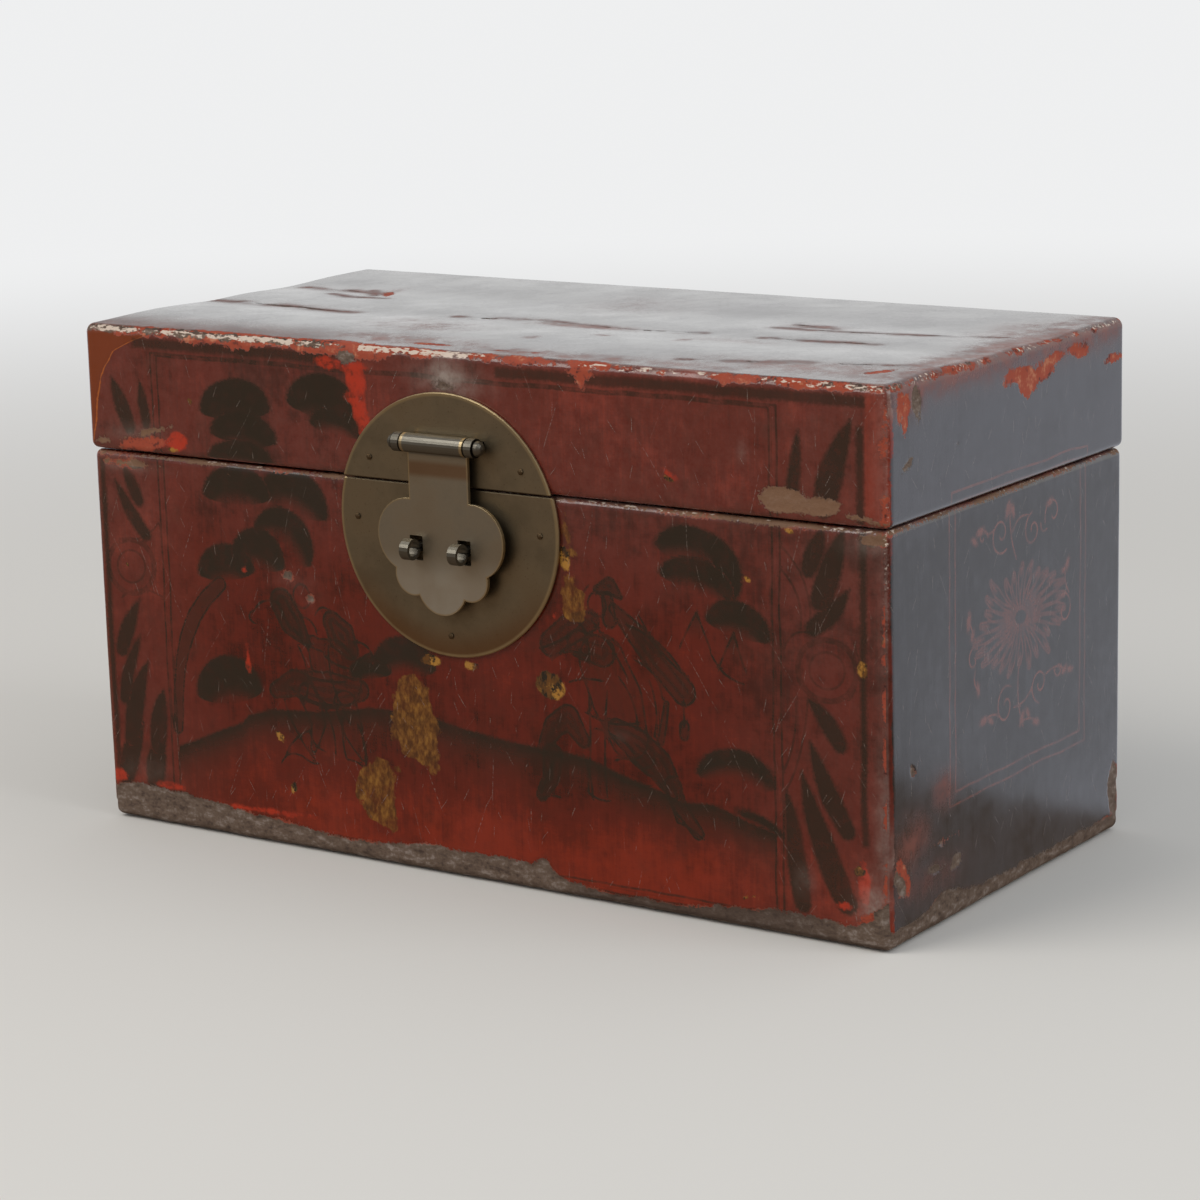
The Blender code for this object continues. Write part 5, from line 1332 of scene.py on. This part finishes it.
class TRUNK_OT_carcass(bpy.types.Operator):
    """Finish the boards, rails and planks as softwood with the grain along each, and the pegs as bamboo"""

    bl_idname = "trunk.carcass"
    bl_label = "Carcass"

    def execute(self, context):
        s = context.scene.trunk_wood
        lengthwise = softwood_material(s, "softwood_lengthwise", (40.0, 1.0, 1.0))
        crosswise = softwood_material(s, "softwood_crosswise", (1.0, 40.0, 1.0))
        wood = [n for n in NODES if n.endswith(("_board", "_rail", "_plank"))]
        across = [n for n in wood if "left" in n or "right" in n]
        give(crosswise, *across)
        give(lengthwise, *(n for n in wood if n not in across))
        pegs = softwood_material(s, "bamboo_peg", (1.0, 1.0, 40.0))
        give(pegs, *(n for n in NODES if "peg" in n))
        return {"FINISHED"}


class TRUNK_OT_stage(bpy.types.Operator):
    """Set the floor, the soft light and the camera"""

    bl_idname = "trunk.stage"
    bl_label = "Stage"

    def execute(self, context):
        s = context.scene.trunk_stage
        scene = context.scene
        scene.view_settings.view_transform = "Standard"
        make_floor(s)
        make_world(scene)
        for light in LIGHTS:
            make_light(*light)
        make_camera(scene, s)
        return {"FINISHED"}


LIGHTS = (  # name, place, side, watts, colour
    ("key_light", (-0.9, -1.5, 1.9), 1.5, 26.0, (1.0, 0.965, 0.92)),
    ("side_light", (1.8, 0.1, 1.3), 1.3, 12.0, (0.90, 0.95, 1.0)),
)
FLOOR_HALF = 8.0
BACKDROP = (0.102, 0.134)  # mirrored rays see a dim floor before this place, and a pale backdrop behind it
PALE_FROM = (0.5, 2.2)  # the floor pales to the backdrop's white over this distance from the trunk
BACK_FROM, HIGH_FROM = (-0.25, 0.4), (0.35, 0.75)  # how far back and up a mirrored ray points as it changes
MIRRORED_FLOOR = Color((0.19, 0.14, 0.10))
MIRRORED_WALL = Color((0.60, 0.62, 0.68))
MIRRORED_BACK = Color((0.90, 0.90, 0.90))
MIRRORED_FRONT = Color((0.24, 0.22, 0.20))
SOFT = Color((0.50, 0.51, 0.53))
PALE = Color((0.86, 0.865, 0.87))


def make_floor(settings):
    """A pale matt plane; mirrored rays see it dimmer near the trunk and as pale as the backdrop behind it."""
    material, add = new_material("pale_matt_floor")
    place = add("TexCoord", output="Object")
    behind = {0: add("SeparateXYZ", {0: place}, "Y"), 1: BACKDROP[0], 2: BACKDROP[1]}
    mirrored = {0: add("MapRange", behind, **SMOOTH), 6: MIRRORED_FLOOR, 7: MIRRORED_WALL}
    mirrored = add("Emission", {"Color": add("Mix", mirrored, **BLEND)})
    far = {0: add("VectorMath", {0: place}, "Value", operation="LENGTH"), 1: PALE_FROM[0], 2: PALE_FROM[1]}
    far = {0: add("MapRange", far, **SMOOTH), 1: add("LightPath", output="Is Camera Ray")}
    matt = {
        0: add("Math", far, **TIMES),
        1: add("BsdfDiffuse", {"Color": settings.floor}),
        2: add("Emission", {"Color": PALE}),
    }
    shader = {0: add("LightPath", output="Is Glossy Ray"), 1: add("MixShader", matt), 2: mirrored}
    add("OutputMaterial", {"Surface": add("MixShader", shader)})
    corner = np.array(((-1, -1), (1, -1), (1, 1), (-1, 1))) * FLOOR_HALF
    points = np.concatenate([corner, np.zeros((4, 1))], 1)
    new_piece("floor", new_mesh("floor", points, np.array([[0, 1, 2, 3]])), material)


def make_world(scene):
    """Soft plain light all round; camera rays see pale white, mirrored rays a pale back and a dim front."""
    world = bpy.data.worlds.new("studio")
    scene.world = world
    world.use_nodes = True
    world.node_tree.nodes.clear()
    add = functools.partial(node, world.node_tree)
    way = add("TexCoord", output="Generated")
    back = {0: add("SeparateXYZ", {0: way}, "Y"), 1: BACK_FROM[0], 2: BACK_FROM[1]}
    back = add("MapRange", back, **SMOOTH)
    low = {0: add("SeparateXYZ", {0: way}, "Z"), 1: HIGH_FROM[0], 2: HIGH_FROM[1], 3: 1.0, 4: 0.35}
    low = add("MapRange", low, **SMOOTH)
    share = add("Math", {0: back, 1: low}, **TIMES)
    mirrored = add("Mix", {0: share, 6: MIRRORED_FRONT, 7: MIRRORED_BACK}, **BLEND)
    glossy = add("LightPath", output="Is Glossy Ray")
    soft = add("Mix", {0: glossy, 6: SOFT, 7: mirrored}, **BLEND)
    seen = {0: add("LightPath", output="Is Camera Ray"), 1: add("LightPath", output="Is Transmission Ray")}
    colour = add("Mix", {0: add("Math", seen, **MOST), 6: soft, 7: PALE}, **BLEND)
    add("OutputWorld", {"Surface": add("Background", {"Color": colour, "Strength": 1.0})})


def make_light(name, place, size, power, colour):
    """A square soft light that looks at the middle of the trunk."""
    data = bpy.data.lights.new(name, "AREA")
    data.shape = "SQUARE"
    data.size = size
    data.energy = power
    data.color = colour
    lamp = bpy.data.objects.new(name, data)
    bpy.context.scene.collection.objects.link(lamp)
    lamp.location = place
    lamp.rotation_euler = (Vector((0, 0, 0.1)) - Vector(place)).to_track_quat("-Z", "Y").to_euler()


def make_camera(scene, settings):
    """The camera looks along its azimuth and elevation at the middle of the trunk, rolled about its view."""
    a, e = settings.azimuth, settings.elevation
    back = Vector((math.sin(a) * math.cos(e), -math.cos(a) * math.cos(e), math.sin(e)))
    right = Vector((math.cos(a), math.sin(a), 0))
    up = back.cross(right)
    middle = Vector((0, 0, (CAD_BOX[0].z + CAD_BOX[1].z) / 2))
    place = middle + settings.aside * right + settings.rise * up + settings.distance * back
    c, s = math.cos(settings.roll), math.sin(settings.roll)
    columns = (c * right + s * up, c * up - s * right, back)
    data = bpy.data.cameras.new("camera")
    data.lens = settings.lens
    data.sensor_width = 36.0
    data.clip_start = 0.01
    camera = bpy.data.objects.new("camera", data)
    scene.collection.objects.link(camera)
    camera.matrix_world = Matrix.Translation(place) @ Matrix(columns).transposed().to_4x4()
    scene.camera = camera


OPERATORS = (
    TRUNK_OT_base_lacquer,
    TRUNK_OT_lid_lacquer,
    TRUNK_OT_brass,
    TRUNK_OT_carcass,
    TRUNK_OT_stage,
)


class TRUNK_PT_panel(bpy.types.Panel):
    """The trunk's pieces and their settings"""

    bl_label = "Lacquered trunk"
    bl_idname = "TRUNK_PT_panel"
    bl_space_type = "VIEW_3D"
    bl_region_type = "UI"
    bl_category = "Trunk"

    def draw(self, context):
        for operator in OPERATORS:
            self.layout.operator(operator.bl_idname)
        for name, group in SETTINGS.items():
            box = self.layout.box()
            for key in group.__annotations__:
                box.prop(getattr(context.scene, name), key)


CLASSES = (*SETTINGS.values(), *OPERATORS, TRUNK_PT_panel)


def register():
    for item in CLASSES:
        bpy.utils.register_class(item)
    for name, group in SETTINGS.items():
        setattr(bpy.types.Scene, name, bpy.props.PointerProperty(type=group))


def unregister():
    for name in SETTINGS:
        delattr(bpy.types.Scene, name)
    for item in reversed(CLASSES):
        bpy.utils.unregister_class(item)


def main():
    register()
    bpy.ops.trunk.base_lacquer()
    bpy.ops.trunk.lid_lacquer()
    bpy.ops.trunk.brass()
    bpy.ops.trunk.carcass()
    bpy.ops.trunk.stage()


if __name__ == "__main__":
    main()
